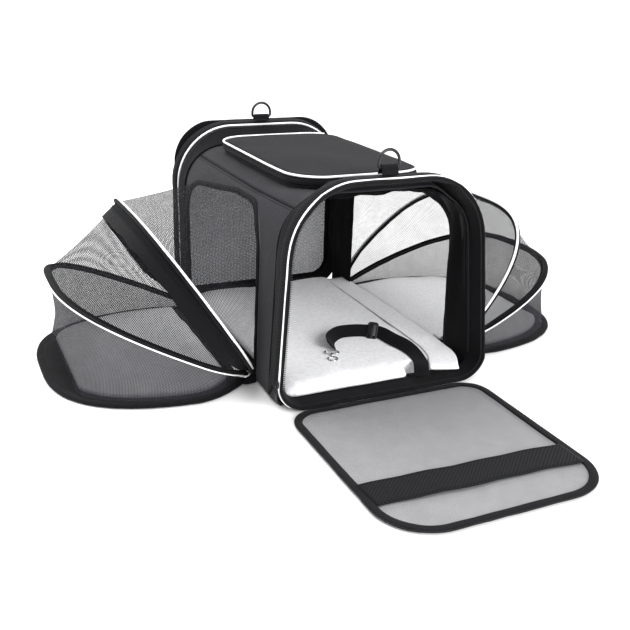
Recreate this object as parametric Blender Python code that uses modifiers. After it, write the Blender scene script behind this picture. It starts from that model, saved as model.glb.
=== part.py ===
"""Expandable soft-sided pet carrier: a wire-framed cabin with a drop-down front door, a zipped
rear door, a padded top lid and a fan-shaped mesh extension on each side.

Frame: origin at the middle of the underside, +Z up, the front door faces -Y, metres.
"""

import math

import bmesh
import bpy
from mathutils import Matrix, Vector

# Cabin
WIDTH = 0.280
HEIGHT = 0.280
LENGTH = 0.440
GAP = 0.0003

COLLAR_TOP_RADIUS = 0.090
COLLAR_BOTTOM_RADIUS = 0.037
COLLAR_WALL = 0.009
COLLAR_DEPTH = 0.026
COLLAR_SKIN = 0.002
COLLAR_SLOT = 0.012
FRAME_WIRE_RADIUS = 0.0022
PIPING_RADIUS = 0.0015
PIPING_FROM_RIM = 0.0085
PIPING_LOWEST = 0.004

BODY_HALF_WIDTH = 0.1315
BODY_TOP = 0.250
BODY_BOTTOM = 0.0
BODY_TOP_RADIUS = 0.060
BODY_BOTTOM_RADIUS = 0.006
FABRIC = 0.0025
SEAM_ANGLE = math.radians(52)

# Arched side openings
ARCH_FRONT = -0.118
ARCH_REAR = 0.166
ARCH_BOTTOM = 0.010
ARCH_TOP = 0.216
ARCH_TOP_RADIUS = 0.060
ARCH_BOTTOM_RADIUS = 0.012
ARCH_BINDING = 0.006

# Floor
BOARD_THICKNESS = 0.0025
PAD_HALF_WIDTH = 0.121
PAD_HALF_LENGTH = 0.188
PAD_THICKNESS = 0.018

# Top lid
LID_HALF_WIDTH = 0.092
LID_FRONT = -0.138
LID_REAR = 0.160
LID_RADIUS = 0.034
LID_THICKNESS = 0.011
LID_CROWN = 0.006
LID_INSET = 0.014
GUSSET_HEIGHT = 0.005
GUSSET_WALL = 0.005

# Front and rear doors
DOOR_LENGTH = 0.274
DOOR_WIDTH = 0.267
DOOR_FAR_RADIUS = 0.061
DOOR_NEAR_RADIUS = 0.034
DOOR_BINDING = 0.010
DOOR_BINDING_BELOW = 0.0028
DOOR_BINDING_ABOVE = 0.0008
MESH_THICKNESS = 0.0010
BAND_WIDTH = 0.038
BAND_THICKNESS = 0.0014
BAND_FROM_HINGE = 0.197
HINGE_FROM_COLLAR = 0.0025
HINGE_HEIGHT = 0.0045

# Side extensions
UPPER_SPAN = 0.350
LOWER_SPAN = 0.318
FLOOR_SPAN = 0.332
SPAN_CENTRE = 0.0134
FAN_POWER = 2.95
FRONT_FOOT = 0.124
REAR_FOOT = 0.152
TOE_HEIGHT = 0.080
FOOT_SPREAD = 0.0112
SLEEVE_THICKNESS = 0.004
SLEEVE_WIDTH = 0.008
SLEEVE_SKIN = 0.001
SLEEVE_SLOT = 0.0012
HOOP_WIRE_RADIUS = 0.00085
UPPER_REACH = 0.2270
LOWER_REACH = 0.2440
FLOOR_REACH = 0.2325
UPPER_PIVOT = (0.1345, 0.0120)
LOWER_PIVOT = (0.1389, 0.0100)
FLOOR_PIVOT = (0.1434, 0.0026)
UPPER_HOOP = (UPPER_REACH, UPPER_SPAN, UPPER_PIVOT)
LOWER_HOOP = (LOWER_REACH, LOWER_SPAN, LOWER_PIVOT)
FLOOR_HOOP = (FLOOR_REACH, FLOOR_SPAN, FLOOR_PIVOT)
FAN_ANGLES = {
    "left": {"upper_hoop": math.radians(57.46), "lower_hoop": math.radians(26.5)},
    "right": {"upper_hoop": math.radians(47.35), "lower_hoop": math.radians(21.4)},
}
EXTENSION_PAD = 0.008
EXTENSION_PAD_INSET = 0.014
PANEL_THICKNESS = 0.0010
PANEL_START = 0.034
FLOOR_BINDING_HALF = 0.004
FLOOR_BOARD_INSET = 0.0055

# D-rings
RING_HALF_WIDTH = 0.0145
RING_HEIGHT = 0.0240
RING_WIRE_RADIUS = 0.0016
RING_TAB_HALF_WIDTH = 0.0115
RING_AXIS_HEIGHT = 0.0062
RING_FROM_RIM = 0.0178
RING_TAB_HALF_DEPTH = 0.0068

SLIDER_THICKNESS = 0.0024

# Safety tether
SWIVEL_THICKNESS = 0.0030
SWIVEL_LIFT = Matrix.Translation((0.0, 0.0, 0.0005))
STRAP_WIDTH = 0.018
STRAP_THICKNESS = 0.0014
STRAP_ROUTE = (
    (0.0600, -0.1925, 0.0205),
    (0.0625, -0.1870, 0.0250),
    (0.0725, -0.1680, 0.0254),
    (0.0790, -0.1450, 0.0252),
    (0.0760, -0.1220, 0.0252),
    (0.0640, -0.1035, 0.0252),
    (0.0440, -0.0925, 0.0252),
    (0.0200, -0.0905, 0.0252),
    (-0.0040, -0.0965, 0.0252),
    (-0.0230, -0.1090, 0.0252),
    (-0.0340, -0.1240, 0.0252),
)

SIDES = {"left": -1.0, "right": 1.0}
ENDS = {"front": -1.0, "rear": 1.0}


def clear_scene():
    for obj in list(bpy.data.objects):
        bpy.data.objects.remove(obj, do_unlink=True)


def make_collection(name, hidden=False):
    collection = bpy.data.collections.new(name)
    collection.hide_render = hidden
    bpy.context.scene.collection.children.link(collection)
    return collection


def make_material(name, colour, roughness, metallic=0.0):
    material = bpy.data.materials.new(name)
    material.use_nodes = True
    shader = material.node_tree.nodes["Principled BSDF"]
    shader.inputs["Base Color"].default_value = (*colour, 1.0)
    shader.inputs["Roughness"].default_value = roughness
    shader.inputs["Metallic"].default_value = metallic
    material.diffuse_color = (*colour, 1.0)
    return material


# --- outlines -------------------------------------------------------------------------------


def arc(centre, radius, start, end, steps):
    """Points of a circular arc, both ends included, angles in degrees."""
    points = []
    for i in range(steps + 1):
        angle = math.radians(start + (end - start) * i / steps)
        points.append((centre[0] + radius * math.cos(angle), centre[1] + radius * math.sin(angle)))
    return points


def rounded_box(left, right, bottom, top, bottom_radius, top_radius, steps=6):
    """Anticlockwise outline of a box with one radius at its foot and another at its head."""
    points = arc((right - bottom_radius, bottom + bottom_radius), bottom_radius, -90, 0, steps)
    points += arc((right - top_radius, top - top_radius), top_radius, 0, 90, steps)
    points += arc((left + top_radius, top - top_radius), top_radius, 90, 180, steps)
    points += arc((left + bottom_radius, bottom + bottom_radius), bottom_radius, 180, 270, steps)
    return points


def frame_outline(inset, steps=6):
    """The cabin frame's outline in X and Z, pulled in by inset."""
    return rounded_box(
        -WIDTH / 2 + inset,
        WIDTH / 2 - inset,
        inset,
        HEIGHT - inset,
        COLLAR_BOTTOM_RADIUS - inset,
        COLLAR_TOP_RADIUS - inset,
        steps,
    )


def arch_outline(inset):
    return rounded_box(
        ARCH_FRONT + inset,
        ARCH_REAR - inset,
        ARCH_BOTTOM + inset,
        ARCH_TOP - inset,
        ARCH_BOTTOM_RADIUS - inset,
        ARCH_TOP_RADIUS - inset,
        5,
    )


def lid_outline(inset):
    return rounded_box(
        -LID_HALF_WIDTH + inset,
        LID_HALF_WIDTH - inset,
        LID_FRONT + inset,
        LID_REAR - inset,
        LID_RADIUS - inset,
        LID_RADIUS - inset,
        5,
    )


def door_outline(inset):
    """The door across its width and away from its hinge."""
    start = HINGE_FROM_COLLAR / 2
    return rounded_box(
        -DOOR_WIDTH / 2 + inset,
        DOOR_WIDTH / 2 - inset,
        start + inset,
        start + DOOR_LENGTH - inset,
        DOOR_NEAR_RADIUS - inset,
        DOOR_FAR_RADIUS - inset,
        6,
    )


def half_moon(reach, span, inset=0.0, start=0.002, count=24):
    """A hoop's open outline: out along one leg, over the tip and back, as (outward, along).

    The legs draw in to their feet over the last TOE_HEIGHT, and inset is measured square to the
    outline.
    """
    outline = []
    for i in range(count + 1):
        angle = math.pi / 2 * math.sin(math.pi * (i / count - 0.5))
        across, up = math.sin(angle), abs(math.cos(angle))
        out = up ** (2 / FAN_POWER) * reach
        along = abs(across) ** (2 / FAN_POWER) * span / 2
        foot = FRONT_FOOT if across < 0 else REAR_FOOT
        draw = (1 - foot / (span / 2)) * (1 - min(out / TOE_HEIGHT, 1.0)) ** 2
        outline.append(Vector((out, math.copysign(along * (1 - draw), across))))
    points = []
    for before, point, after in zip(outline[:1] + outline, outline, outline[1:] + outline[-1:]):
        ahead = (after - before).normalized()
        moved = point + Vector((-ahead.y, ahead.x)) * inset
        points.append((max(moved.x, start), moved.y))
    return points


# --- makers ---------------------------------------------------------------------------------


def finish(obj, material, collection, matrix=None):
    if material is not None:
        obj.data.materials.append(material)
    if matrix is not None:
        obj.matrix_world = matrix
    collection.objects.link(obj)
    return obj


def new_curve(name, loops, cyclic=True, dimensions="2D"):
    curve = bpy.data.curves.new(name, "CURVE")
    curve.dimensions = dimensions
    for loop in loops:
        spline = curve.splines.new("POLY")
        spline.points.add(len(loop) - 1)
        for point, place in zip(spline.points, loop):
            point.co = (*place, *([0.0] * (3 - len(place))), 1.0)
        spline.use_cyclic_u = cyclic
    return bpy.data.objects.new(name, curve)


def plate(name, loops, thickness, material, matrix, collection):
    """A flat piece cut to the first loop, with the others as holes, half its thickness each way."""
    obj = new_curve(name, loops)
    obj.data.fill_mode = "BOTH"
    obj.data.extrude = thickness / 2
    return finish(obj, material, collection, matrix)


def wire(name, points, radius, material, matrix, collection, cyclic=True, resolution=1):
    obj = new_curve(name, [points], cyclic, "3D")
    obj.data.fill_mode = "FULL"
    obj.data.bevel_depth = radius
    obj.data.bevel_resolution = resolution
    obj.data.use_fill_caps = not cyclic
    return finish(obj, material, collection, matrix)


def swept(name, points, section, material, matrix, collection, guides, cyclic=True):
    """A section, listed anticlockwise, carried along a path. Its +X points away from the path's centre."""
    profile = new_curve(name + "_section", [list(reversed(section))])
    profile.hide_render = True
    profile.display_type = "WIRE"
    guides.objects.link(profile)
    obj = new_curve(name, [points], cyclic, "3D")
    obj.data.fill_mode = "FULL"
    obj.data.twist_mode = "Z_UP"
    obj.data.bevel_mode = "OBJECT"
    obj.data.bevel_object = profile
    obj.data.use_fill_caps = not cyclic
    return finish(obj, material, collection, matrix)


def as_mesh(obj, collection):
    """Turns a curve object into a welded mesh object of the same name, place and material."""
    bpy.context.view_layer.update()
    evaluated = obj.evaluated_get(bpy.context.evaluated_depsgraph_get())
    mesh = bpy.data.meshes.new_from_object(evaluated)
    name = obj.name
    matrix = obj.matrix_world.copy()
    bpy.data.objects.remove(obj, do_unlink=True)
    shape = bmesh.new()
    shape.from_mesh(mesh)
    bmesh.ops.remove_doubles(shape, verts=shape.verts, dist=0.000001)
    if all(edge.is_manifold for edge in shape.edges):
        bmesh.ops.recalc_face_normals(shape, faces=shape.faces)
    shape.to_mesh(mesh)
    shape.free()
    made = bpy.data.objects.new(name, mesh)
    made.matrix_world = matrix
    collection.objects.link(made)
    return made


def cut(obj, cutter):
    cutter.hide_render = True
    cutter.display_type = "WIRE"
    modifier = obj.modifiers.new("cut", "BOOLEAN")
    modifier.operation = "DIFFERENCE"
    modifier.solver = "EXACT"
    modifier.object = cutter


def skin(name, section, half_length, matrix, material, collection):
    """A sheet of fabric: an open section drawn out along its normal, then thickened inwards."""
    ribbon = new_curve(name, [section], cyclic=False, dimensions="3D")
    ribbon.data.fill_mode = "FULL"
    ribbon.data.twist_mode = "Z_UP"
    ribbon.data.extrude = half_length
    finish(ribbon, material, collection, matrix)
    sheet = as_mesh(ribbon, collection)
    sheet.data.materials.clear()
    sheet.data.materials.append(material)
    thicken = sheet.modifiers.new("thickness", "SOLIDIFY")
    thicken.thickness = FABRIC
    thicken.offset = 1.0
    thicken.use_even_offset = True
    return sheet


def soft_block(name, size, centre, round_edge, material, collection):
    """A rounded block for a cushion."""
    mesh = bpy.data.meshes.new(name)
    shape = bmesh.new()
    bmesh.ops.create_cube(shape, size=1.0, matrix=Matrix.Diagonal((*size, 1.0)))
    shape.to_mesh(mesh)
    shape.free()
    obj = bpy.data.objects.new(name, mesh)
    bevel = obj.modifiers.new("soft_edges", "BEVEL")
    bevel.width = round_edge
    bevel.segments = 2
    return finish(obj, material, collection, Matrix.Translation(centre))


# --- frames of reference --------------------------------------------------------------------


def upright(y):
    """Local X and Y drawn on the vertical plane at y, seen from the front."""
    return Matrix.Translation((0.0, y, 0.0)) @ Matrix.Rotation(math.radians(90), 4, "X")


def sideways(x):
    """Local X along +Y and local Y up, on the plane at x."""
    turn = Matrix(((0, 0, 1, 0), (1, 0, 0, 0), (0, 1, 0, 0), (0, 0, 0, 1)))
    return Matrix.Translation((x, 0.0, 0.0)) @ turn


def fan_plane(side, pivot, angle):
    """Local X runs out from the pivot at an angle above the floor, local Y runs along +Y."""
    sign = SIDES[side]
    out = Vector((sign * math.cos(angle), 0.0, math.sin(angle)))
    along = Vector((0.0, 1.0, 0.0))
    normal = out.cross(along)
    turn = Matrix((out, along, normal)).transposed().to_4x4()
    return Matrix.Translation((sign * pivot[0], SPAN_CENTRE, pivot[1])) @ turn


def door_plane(end):
    """Local X across, local Y away from the hinge, local Z towards the cabin once shut."""
    sign = ENDS[end]
    hinge = Vector((0.0, sign * (LENGTH / 2 + HINGE_FROM_COLLAR), HINGE_HEIGHT))
    if end == "front":
        away, inside = Vector((0.0, -1.0, 0.0)), Vector((0.0, 0.0, 1.0))
    else:
        away, inside = Vector((0.0, 0.0, 1.0)), Vector((0.0, -1.0, 0.0))
    turn = Matrix((away.cross(inside), away, inside)).transposed().to_4x4()
    return Matrix.Translation(hinge) @ turn


# --- sub-parts ------------------------------------------------------------------------------


def channel(width, depth, wall, slot):
    """A C-section open towards -X: outer size width by depth, walls of one thickness."""
    half, inner = depth / 2, depth / 2 - wall
    return [
        (0.0, -half),
        (0.0, half),
        (-width, half),
        (-width, slot / 2),
        (-width + wall, slot / 2),
        (-width + wall, inner),
        (-wall, inner),
        (-wall, -inner),
        (-width + wall, -inner),
        (-width + wall, -slot / 2),
        (-width, -slot / 2),
        (-width, -half),
    ]


def make_collars(parts, guides, fabric, steel, piping):
    section = channel(COLLAR_WALL, COLLAR_DEPTH, COLLAR_SKIN, COLLAR_SLOT)
    for end, sign in ENDS.items():
        middle = sign * (LENGTH / 2 - COLLAR_DEPTH / 2)
        swept(f"{end}_collar", frame_outline(0.0), section, fabric, upright(middle), parts, guides)
        wire(
            f"{end}_frame_wire",
            frame_outline(COLLAR_WALL / 2),
            FRAME_WIRE_RADIUS,
            steel,
            upright(middle),
            parts,
        )
        rim = sign * (LENGTH / 2 - PIPING_FROM_RIM)
        run = [p for p in frame_outline(-PIPING_RADIUS - GAP) if p[1] > PIPING_LOWEST]
        wire(f"{end}_piping", run, PIPING_RADIUS, piping, upright(rim), parts, cyclic=False)


def make_body(parts, cutters, fabric, binding):
    half_length = LENGTH / 2 - COLLAR_DEPTH - GAP
    low = (BODY_HALF_WIDTH - BODY_BOTTOM_RADIUS, BODY_BOTTOM + BODY_BOTTOM_RADIUS)
    high = (BODY_HALF_WIDTH - BODY_TOP_RADIUS, BODY_TOP - BODY_TOP_RADIUS)
    seam = math.degrees(SEAM_ANGLE)
    seam_gap = math.degrees(3 * GAP / BODY_TOP_RADIUS)
    side = arc(low, BODY_BOTTOM_RADIUS, -90, 0, 3) + arc(high, BODY_TOP_RADIUS, 0, seam, 5)
    roof = arc(high, BODY_TOP_RADIUS, seam + seam_gap, 90, 4)
    roof += [(-x, z) for x, z in reversed(roof)]
    edge = low[0] - 5 * GAP
    underside = [(-edge, BODY_BOTTOM), (edge, BODY_BOTTOM)]

    for name, sign in SIDES.items():
        section = [(sign * x, z) for x, z in side]
        if sign < 0:
            section.reverse()
        panel = skin(f"{name}_side_panel", section, half_length, upright(0.0), fabric, parts)
        window = plate(
            f"{name}_arch_cutter",
            [arch_outline(0.0)],
            0.08,
            None,
            sideways(sign * BODY_HALF_WIDTH),
            cutters,
        )
        cut(panel, as_mesh(window, cutters))
        plate(
            f"{name}_arch_binding",
            [arch_outline(GAP), arch_outline(ARCH_BINDING)],
            FABRIC,
            binding,
            sideways(sign * (BODY_HALF_WIDTH - FABRIC / 2)),
            parts,
        )

    top = skin("roof_panel", roof, half_length, upright(0.0), fabric, parts)
    at_roof = Matrix.Translation((0, 0, BODY_TOP))
    hatch = plate("hatch_cutter", [lid_outline(LID_INSET)], 0.03, None, at_roof, cutters)
    cut(top, as_mesh(hatch, cutters))
    skin("underside_panel", underside, half_length, upright(0.0), fabric, parts)


def make_floor(parts, board, plush):
    board_low = BODY_BOTTOM + FABRIC + GAP
    size = (2 * PAD_HALF_WIDTH, 2 * PAD_HALF_LENGTH)
    outline = rounded_box(-size[0] / 2, size[0] / 2, -size[1] / 2, size[1] / 2, 0.01, 0.01, 3)
    middle = Matrix.Translation((0, 0, board_low + BOARD_THICKNESS / 2))
    plate("base_board", [outline], BOARD_THICKNESS, board, middle, parts)
    pad_low = board_low + BOARD_THICKNESS + GAP
    soft_block(
        "floor_pad",
        (*size, PAD_THICKNESS),
        (0.0, 0.0, pad_low + PAD_THICKNESS / 2),
        0.005,
        plush,
        parts,
    )


def make_lid(parts, fabric, piping, metal):
    """The lid hangs on its right-hand edge, so its origin is on that hinge line."""
    gusset_low = BODY_TOP + GAP
    gusset = Matrix.Translation((0, 0, gusset_low + GUSSET_HEIGHT / 2))
    loops = [lid_outline(0.003), lid_outline(0.003 + GUSSET_WALL)]
    plate("lid_gusset", loops, GUSSET_HEIGHT, fabric, gusset, parts)

    hinge = Vector((LID_HALF_WIDTH, 0.0, gusset_low + GUSSET_HEIGHT + GAP))
    outline = [(x - hinge.x, y) for x, y in lid_outline(0.0)]
    middle = LID_THICKNESS / 2
    base = plate("lid_panel", [outline], LID_THICKNESS, fabric, Matrix.Translation(hinge), parts)
    panel = as_mesh(base, parts)
    panel.data.materials.clear()
    panel.data.materials.append(fabric)
    panel.data.transform(Matrix.Translation((0, 0, middle)))
    edges = panel.modifiers.new("crowned_edges", "BEVEL")
    edges.width = LID_CROWN
    edges.segments = 3
    edges.limit_method = "ANGLE"
    edges.angle_limit = math.radians(60)

    path = [(x - hinge.x, y) for x, y in lid_outline(-PIPING_RADIUS - GAP)]
    open_path = [p for p in path if p[0] < -2 * LID_RADIUS / 3]
    matrix = Matrix.Translation(hinge + Vector((0, 0, LID_THICKNESS * 0.45)))
    wire("lid_piping", order_round(open_path), PIPING_RADIUS, piping, matrix, parts, cyclic=False)
    on_roof = Vector((-0.045, LID_FRONT + 0.0025, gusset_low + SLIDER_THICKNESS / 2))
    forward = Matrix.Rotation(math.pi, 4, "Z")
    make_zip_slider("lid_zip_slider", Matrix.Translation(on_roof) @ forward, metal, parts)


def order_round(points):
    """Sorts the points of a three-sided outline from its front right end round to its rear one."""
    centre = Vector((-LID_HALF_WIDTH, (LID_FRONT + LID_REAR) / 2))

    def turn(point):
        offset = Vector(point) - centre
        return (math.atan2(offset.y, offset.x)) % (2 * math.pi)

    return sorted(points, key=turn, reverse=True)


def make_zip_slider(name, matrix, metal, parts):
    """A flat slider with its pull tab, cut as one plate with the pull's eye in it."""
    outline = rounded_box(-0.003, 0.003, 0.0, 0.008, 0.0015, 0.0015, 2)
    tab = rounded_box(-0.0022, 0.0022, 0.0085, 0.026, 0.0010, 0.0022, 2)
    waist = len(outline) // 2
    body = outline[:waist] + tab[3:9] + outline[waist:]
    eye = arc((0.0, 0.022), 0.001, 0, 315, 7)
    return plate(name, [body, eye], SLIDER_THICKNESS, metal, matrix, parts)


def make_door_sliders(parts, metal):
    """The doors' sliders hang at the foot of each collar, just outside it."""
    for end, sign in ENDS.items():
        side = sign
        place = Vector((side * (WIDTH / 2 + GAP + SLIDER_THICKNESS / 2), 0.0, 0.0))
        place.y = sign * (LENGTH / 2 - 0.0034)
        place.z = COLLAR_BOTTOM_RADIUS + 0.008
        hanging = sideways(0.0) @ Matrix.Rotation(math.pi, 4, "Z")
        make_zip_slider(f"{end}_zip_slider", Matrix.Translation(place) @ hanging, metal, parts)


def make_door(end, parts, mesh, binding, webbing):
    plane = door_plane(end)

    def at(height):
        return plane @ Matrix.Translation((0, 0, height))

    thickness = DOOR_BINDING_BELOW + DOOR_BINDING_ABOVE
    middle = (DOOR_BINDING_ABOVE - DOOR_BINDING_BELOW) / 2
    loops = [door_outline(0.0), door_outline(DOOR_BINDING)]
    plate(f"{end}_door_binding", loops, thickness, binding, at(middle), parts)
    sheet = [door_outline(DOOR_BINDING + GAP)]
    plate(f"{end}_door_mesh", sheet, MESH_THICKNESS, mesh, at(-0.0010), parts)
    if end == "front":
        half = DOOR_WIDTH / 2 - DOOR_BINDING - 3 * GAP
        low, high = BAND_FROM_HINGE - BAND_WIDTH / 2, BAND_FROM_HINGE + BAND_WIDTH / 2
        band = [(-half, low), (half, low), (half, high), (-half, high)]
        lift = -0.0010 + MESH_THICKNESS / 2 + GAP + BAND_THICKNESS / 2
        plate("front_door_band", [band], BAND_THICKNESS, webbing, at(lift), parts)


def make_ring(end, parts, webbing, metal):
    """A D-ring standing on a webbing tab. The ring's origin is on the bar that it tilts about."""
    sign = ENDS[end]
    y = sign * (LENGTH / 2 - RING_FROM_RIM)
    axis = Vector((0.0, y, HEIGHT + RING_AXIS_HEIGHT))
    arch = arc((0.0, RING_HEIGHT - RING_HALF_WIDTH), RING_HALF_WIDTH, 0, 180, 12)
    outline = [(-RING_HALF_WIDTH, 0.0), (RING_HALF_WIDTH, 0.0)] + arch
    stand = Matrix.Translation(axis) @ Matrix.Rotation(math.radians(90), 4, "X")
    wire(f"{end}_d_ring", outline, RING_WIRE_RADIUS, metal, stand, parts)

    foot = -RING_AXIS_HEIGHT + GAP
    loop = arc((0.0, 0.0), 0.0036, 0, 180, 8)
    loop = [(RING_TAB_HALF_DEPTH, foot)] + loop + [(-RING_TAB_HALF_DEPTH, foot)]
    hole = arc((0.0, 0.0), 0.0022, 0, 330, 11)
    matrix = Matrix.Translation(axis) @ sideways(0.0)
    plate(f"{end}_ring_tab", [loop, hole], 2 * RING_TAB_HALF_WIDTH, webbing, matrix, parts)


def make_hoop(side, level, hoop, parts, guides, fabric, steel):
    reach, span, pivot = hoop
    plane = fan_plane(side, pivot, FAN_ANGLES[side][level])
    outline = half_moon(reach, span)
    section = [(x + SLEEVE_WIDTH / 2, y) for x, y in
               channel(SLEEVE_WIDTH, SLEEVE_THICKNESS, SLEEVE_SKIN, SLEEVE_SLOT)]
    swept(f"{side}_{level}_sleeve", outline, section, fabric, plane, parts, guides, cyclic=False)
    wire(f"{side}_{level}_wire", outline, HOOP_WIRE_RADIUS, steel, plane, parts, cyclic=False)


def make_extension_floor(side, parts, guides, board, binding, plush):
    plane = fan_plane(side, FLOOR_PIVOT, 0.0)
    outline = half_moon(FLOOR_REACH, FLOOR_SPAN)
    wide, high = FLOOR_BINDING_HALF, SLEEVE_THICKNESS / 2
    edge = [(-wide, -high), (wide, -high), (wide, high), (-wide, high)]
    swept(f"{side}_floor_binding", outline, edge, binding, plane, parts, guides, cyclic=False)

    inner = half_moon(FLOOR_REACH, FLOOR_SPAN, FLOOR_BOARD_INSET)
    plate(f"{side}_floor_board", [inner], BOARD_THICKNESS, board, plane, parts)
    lift = BOARD_THICKNESS / 2 + GAP + EXTENSION_PAD / 2
    up = plane.to_3x3().col[2].z
    rise = plane @ Matrix.Translation((0, 0, lift if up > 0 else -lift))
    pad = plate(
        f"{side}_extension_pad",
        [half_moon(FLOOR_REACH, FLOOR_SPAN, EXTENSION_PAD_INSET, 0.004)],
        EXTENSION_PAD,
        plush,
        rise,
        parts,
    )
    mesh = as_mesh(pad, parts)
    mesh.data.materials.clear()
    mesh.data.materials.append(plush)
    edges = mesh.modifiers.new("soft_edges", "BEVEL")
    edges.width = 0.003
    edges.segments = 2
    edges.limit_method = "ANGLE"
    edges.angle_limit = math.radians(60)


def fan_edge(side, hoop, angle, inset, offset):
    """World points of a panel edge that runs just inside a hoop, moved towards the cabin by offset."""
    reach, span, pivot = hoop
    plane = fan_plane(side, pivot, angle)
    toward_cabin = Vector((-SIDES[side] * math.sin(angle), 0.0, math.cos(angle))) * offset
    points = half_moon(reach, span, inset, start=PANEL_START)
    return [plane @ Vector((x, y, 0.0)) + toward_cabin for x, y in points]


def arch_edge(side, count):
    """World points round the arched opening, matched in number and order to a hoop's edge."""
    outline = arch_outline(ARCH_BINDING / 2)
    low = ARCH_BOTTOM + 0.040
    route = [p for p in outline if p[1] > low]
    route = [(ARCH_REAR - ARCH_BINDING / 2, low)] + route + [(ARCH_FRONT + ARCH_BINDING / 2, low)]
    route.reverse()
    lengths = [0.0]
    for (x0, y0), (x1, y1) in zip(route, route[1:]):
        lengths.append(lengths[-1] + math.hypot(x1 - x0, y1 - y0))
    x = SIDES[side] * (BODY_HALF_WIDTH + 0.0020)
    points = []
    for i in range(count):
        wanted = lengths[-1] * i / (count - 1)
        k = max(j for j in range(len(lengths) - 1) if lengths[j] <= wanted + 1e-9)
        share = (wanted - lengths[k]) / (lengths[k + 1] - lengths[k])
        y = route[k][0] + (route[k + 1][0] - route[k][0]) * share
        z = route[k][1] + (route[k + 1][1] - route[k][1]) * share
        points.append(Vector((x, y, z)))
    return points


def loft(name, rows, mesh_material, parts):
    """A sheet between rows of points, thickened equally to both sides."""
    shape = bmesh.new()
    grid = [[shape.verts.new(p) for p in row] for row in rows]
    for low, high in zip(grid, grid[1:]):
        for i in range(len(low) - 1):
            shape.faces.new((low[i], low[i + 1], high[i + 1], high[i]))
    bmesh.ops.recalc_face_normals(shape, faces=shape.faces)
    mesh = bpy.data.meshes.new(name)
    shape.to_mesh(mesh)
    shape.free()
    obj = bpy.data.objects.new(name, mesh)
    thicken = obj.modifiers.new("thickness", "SOLIDIFY")
    thicken.thickness = PANEL_THICKNESS
    thicken.offset = 0.0
    return finish(obj, mesh_material, parts)


def make_fan_panels(side, parts, mesh_material):
    """Three mesh panels: cabin to upper hoop, upper to lower hoop, lower hoop to floor."""
    upper, lower = FAN_ANGLES[side]["upper_hoop"], FAN_ANGLES[side]["lower_hoop"]
    margin = SLEEVE_WIDTH / 2 + 0.0012
    clear = SLEEVE_THICKNESS / 2 + PANEL_THICKNESS
    floor_lift = BOARD_THICKNESS + EXTENSION_PAD + 3 * PANEL_THICKNESS

    above_upper = fan_edge(side, UPPER_HOOP, upper, margin, clear)
    below_upper = fan_edge(side, UPPER_HOOP, upper, margin, -clear)
    above_lower = fan_edge(side, LOWER_HOOP, lower, margin, clear)
    below_lower = fan_edge(side, LOWER_HOOP, lower, margin, -clear)
    on_floor = fan_edge(side, FLOOR_HOOP, 0.0, margin, floor_lift)
    round_arch = arch_edge(side, len(above_upper))
    loft(f"{side}_mesh_inner", [round_arch, above_upper], mesh_material, parts)
    loft(f"{side}_mesh_middle", [below_upper, above_lower], mesh_material, parts)
    loft(f"{side}_mesh_outer", [below_lower, on_floor], mesh_material, parts)


def make_anchors(side, parts, binding):
    """Patches that hold the ends of the hoops, one past each end of the span."""
    sign = SIDES[side]
    inner, outer = BODY_HALF_WIDTH + GAP, FLOOR_PIVOT[0] + 0.005
    outline = [(inner, 0.001), (outer, 0.001), (outer, 0.008), (inner + 0.003, 0.014), (inner, 0.014)]
    if sign < 0:
        outline = [(-x, z) for x, z in reversed(outline)]
    past = FOOT_SPREAD + GAP + FABRIC / 2
    feet = {"front": SPAN_CENTRE - FRONT_FOOT - past, "rear": SPAN_CENTRE + REAR_FOOT + past}
    for end, y in feet.items():
        place = upright(y)
        plate(f"{side}_{end}_hoop_anchor", [outline], FABRIC, binding, place, parts)


def spline_points(route, per_span):
    """A smooth curve through the route's points (Catmull-Rom)."""
    knots = [Vector(p) for p in route]
    knots = [2 * knots[0] - knots[1]] + knots + [2 * knots[-1] - knots[-2]]
    points = []
    for a, b, c, d in zip(knots, knots[1:], knots[2:], knots[3:]):
        for step in range(per_span):
            t = step / per_span
            points.append(
                0.5 * (2 * b + (c - a) * t + (2 * a - 5 * b + 4 * c - d) * t**2
                       + (3 * b - a - 3 * c + d) * t**3)
            )
    points.append(knots[-2])
    return [tuple(p) for p in points]


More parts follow.
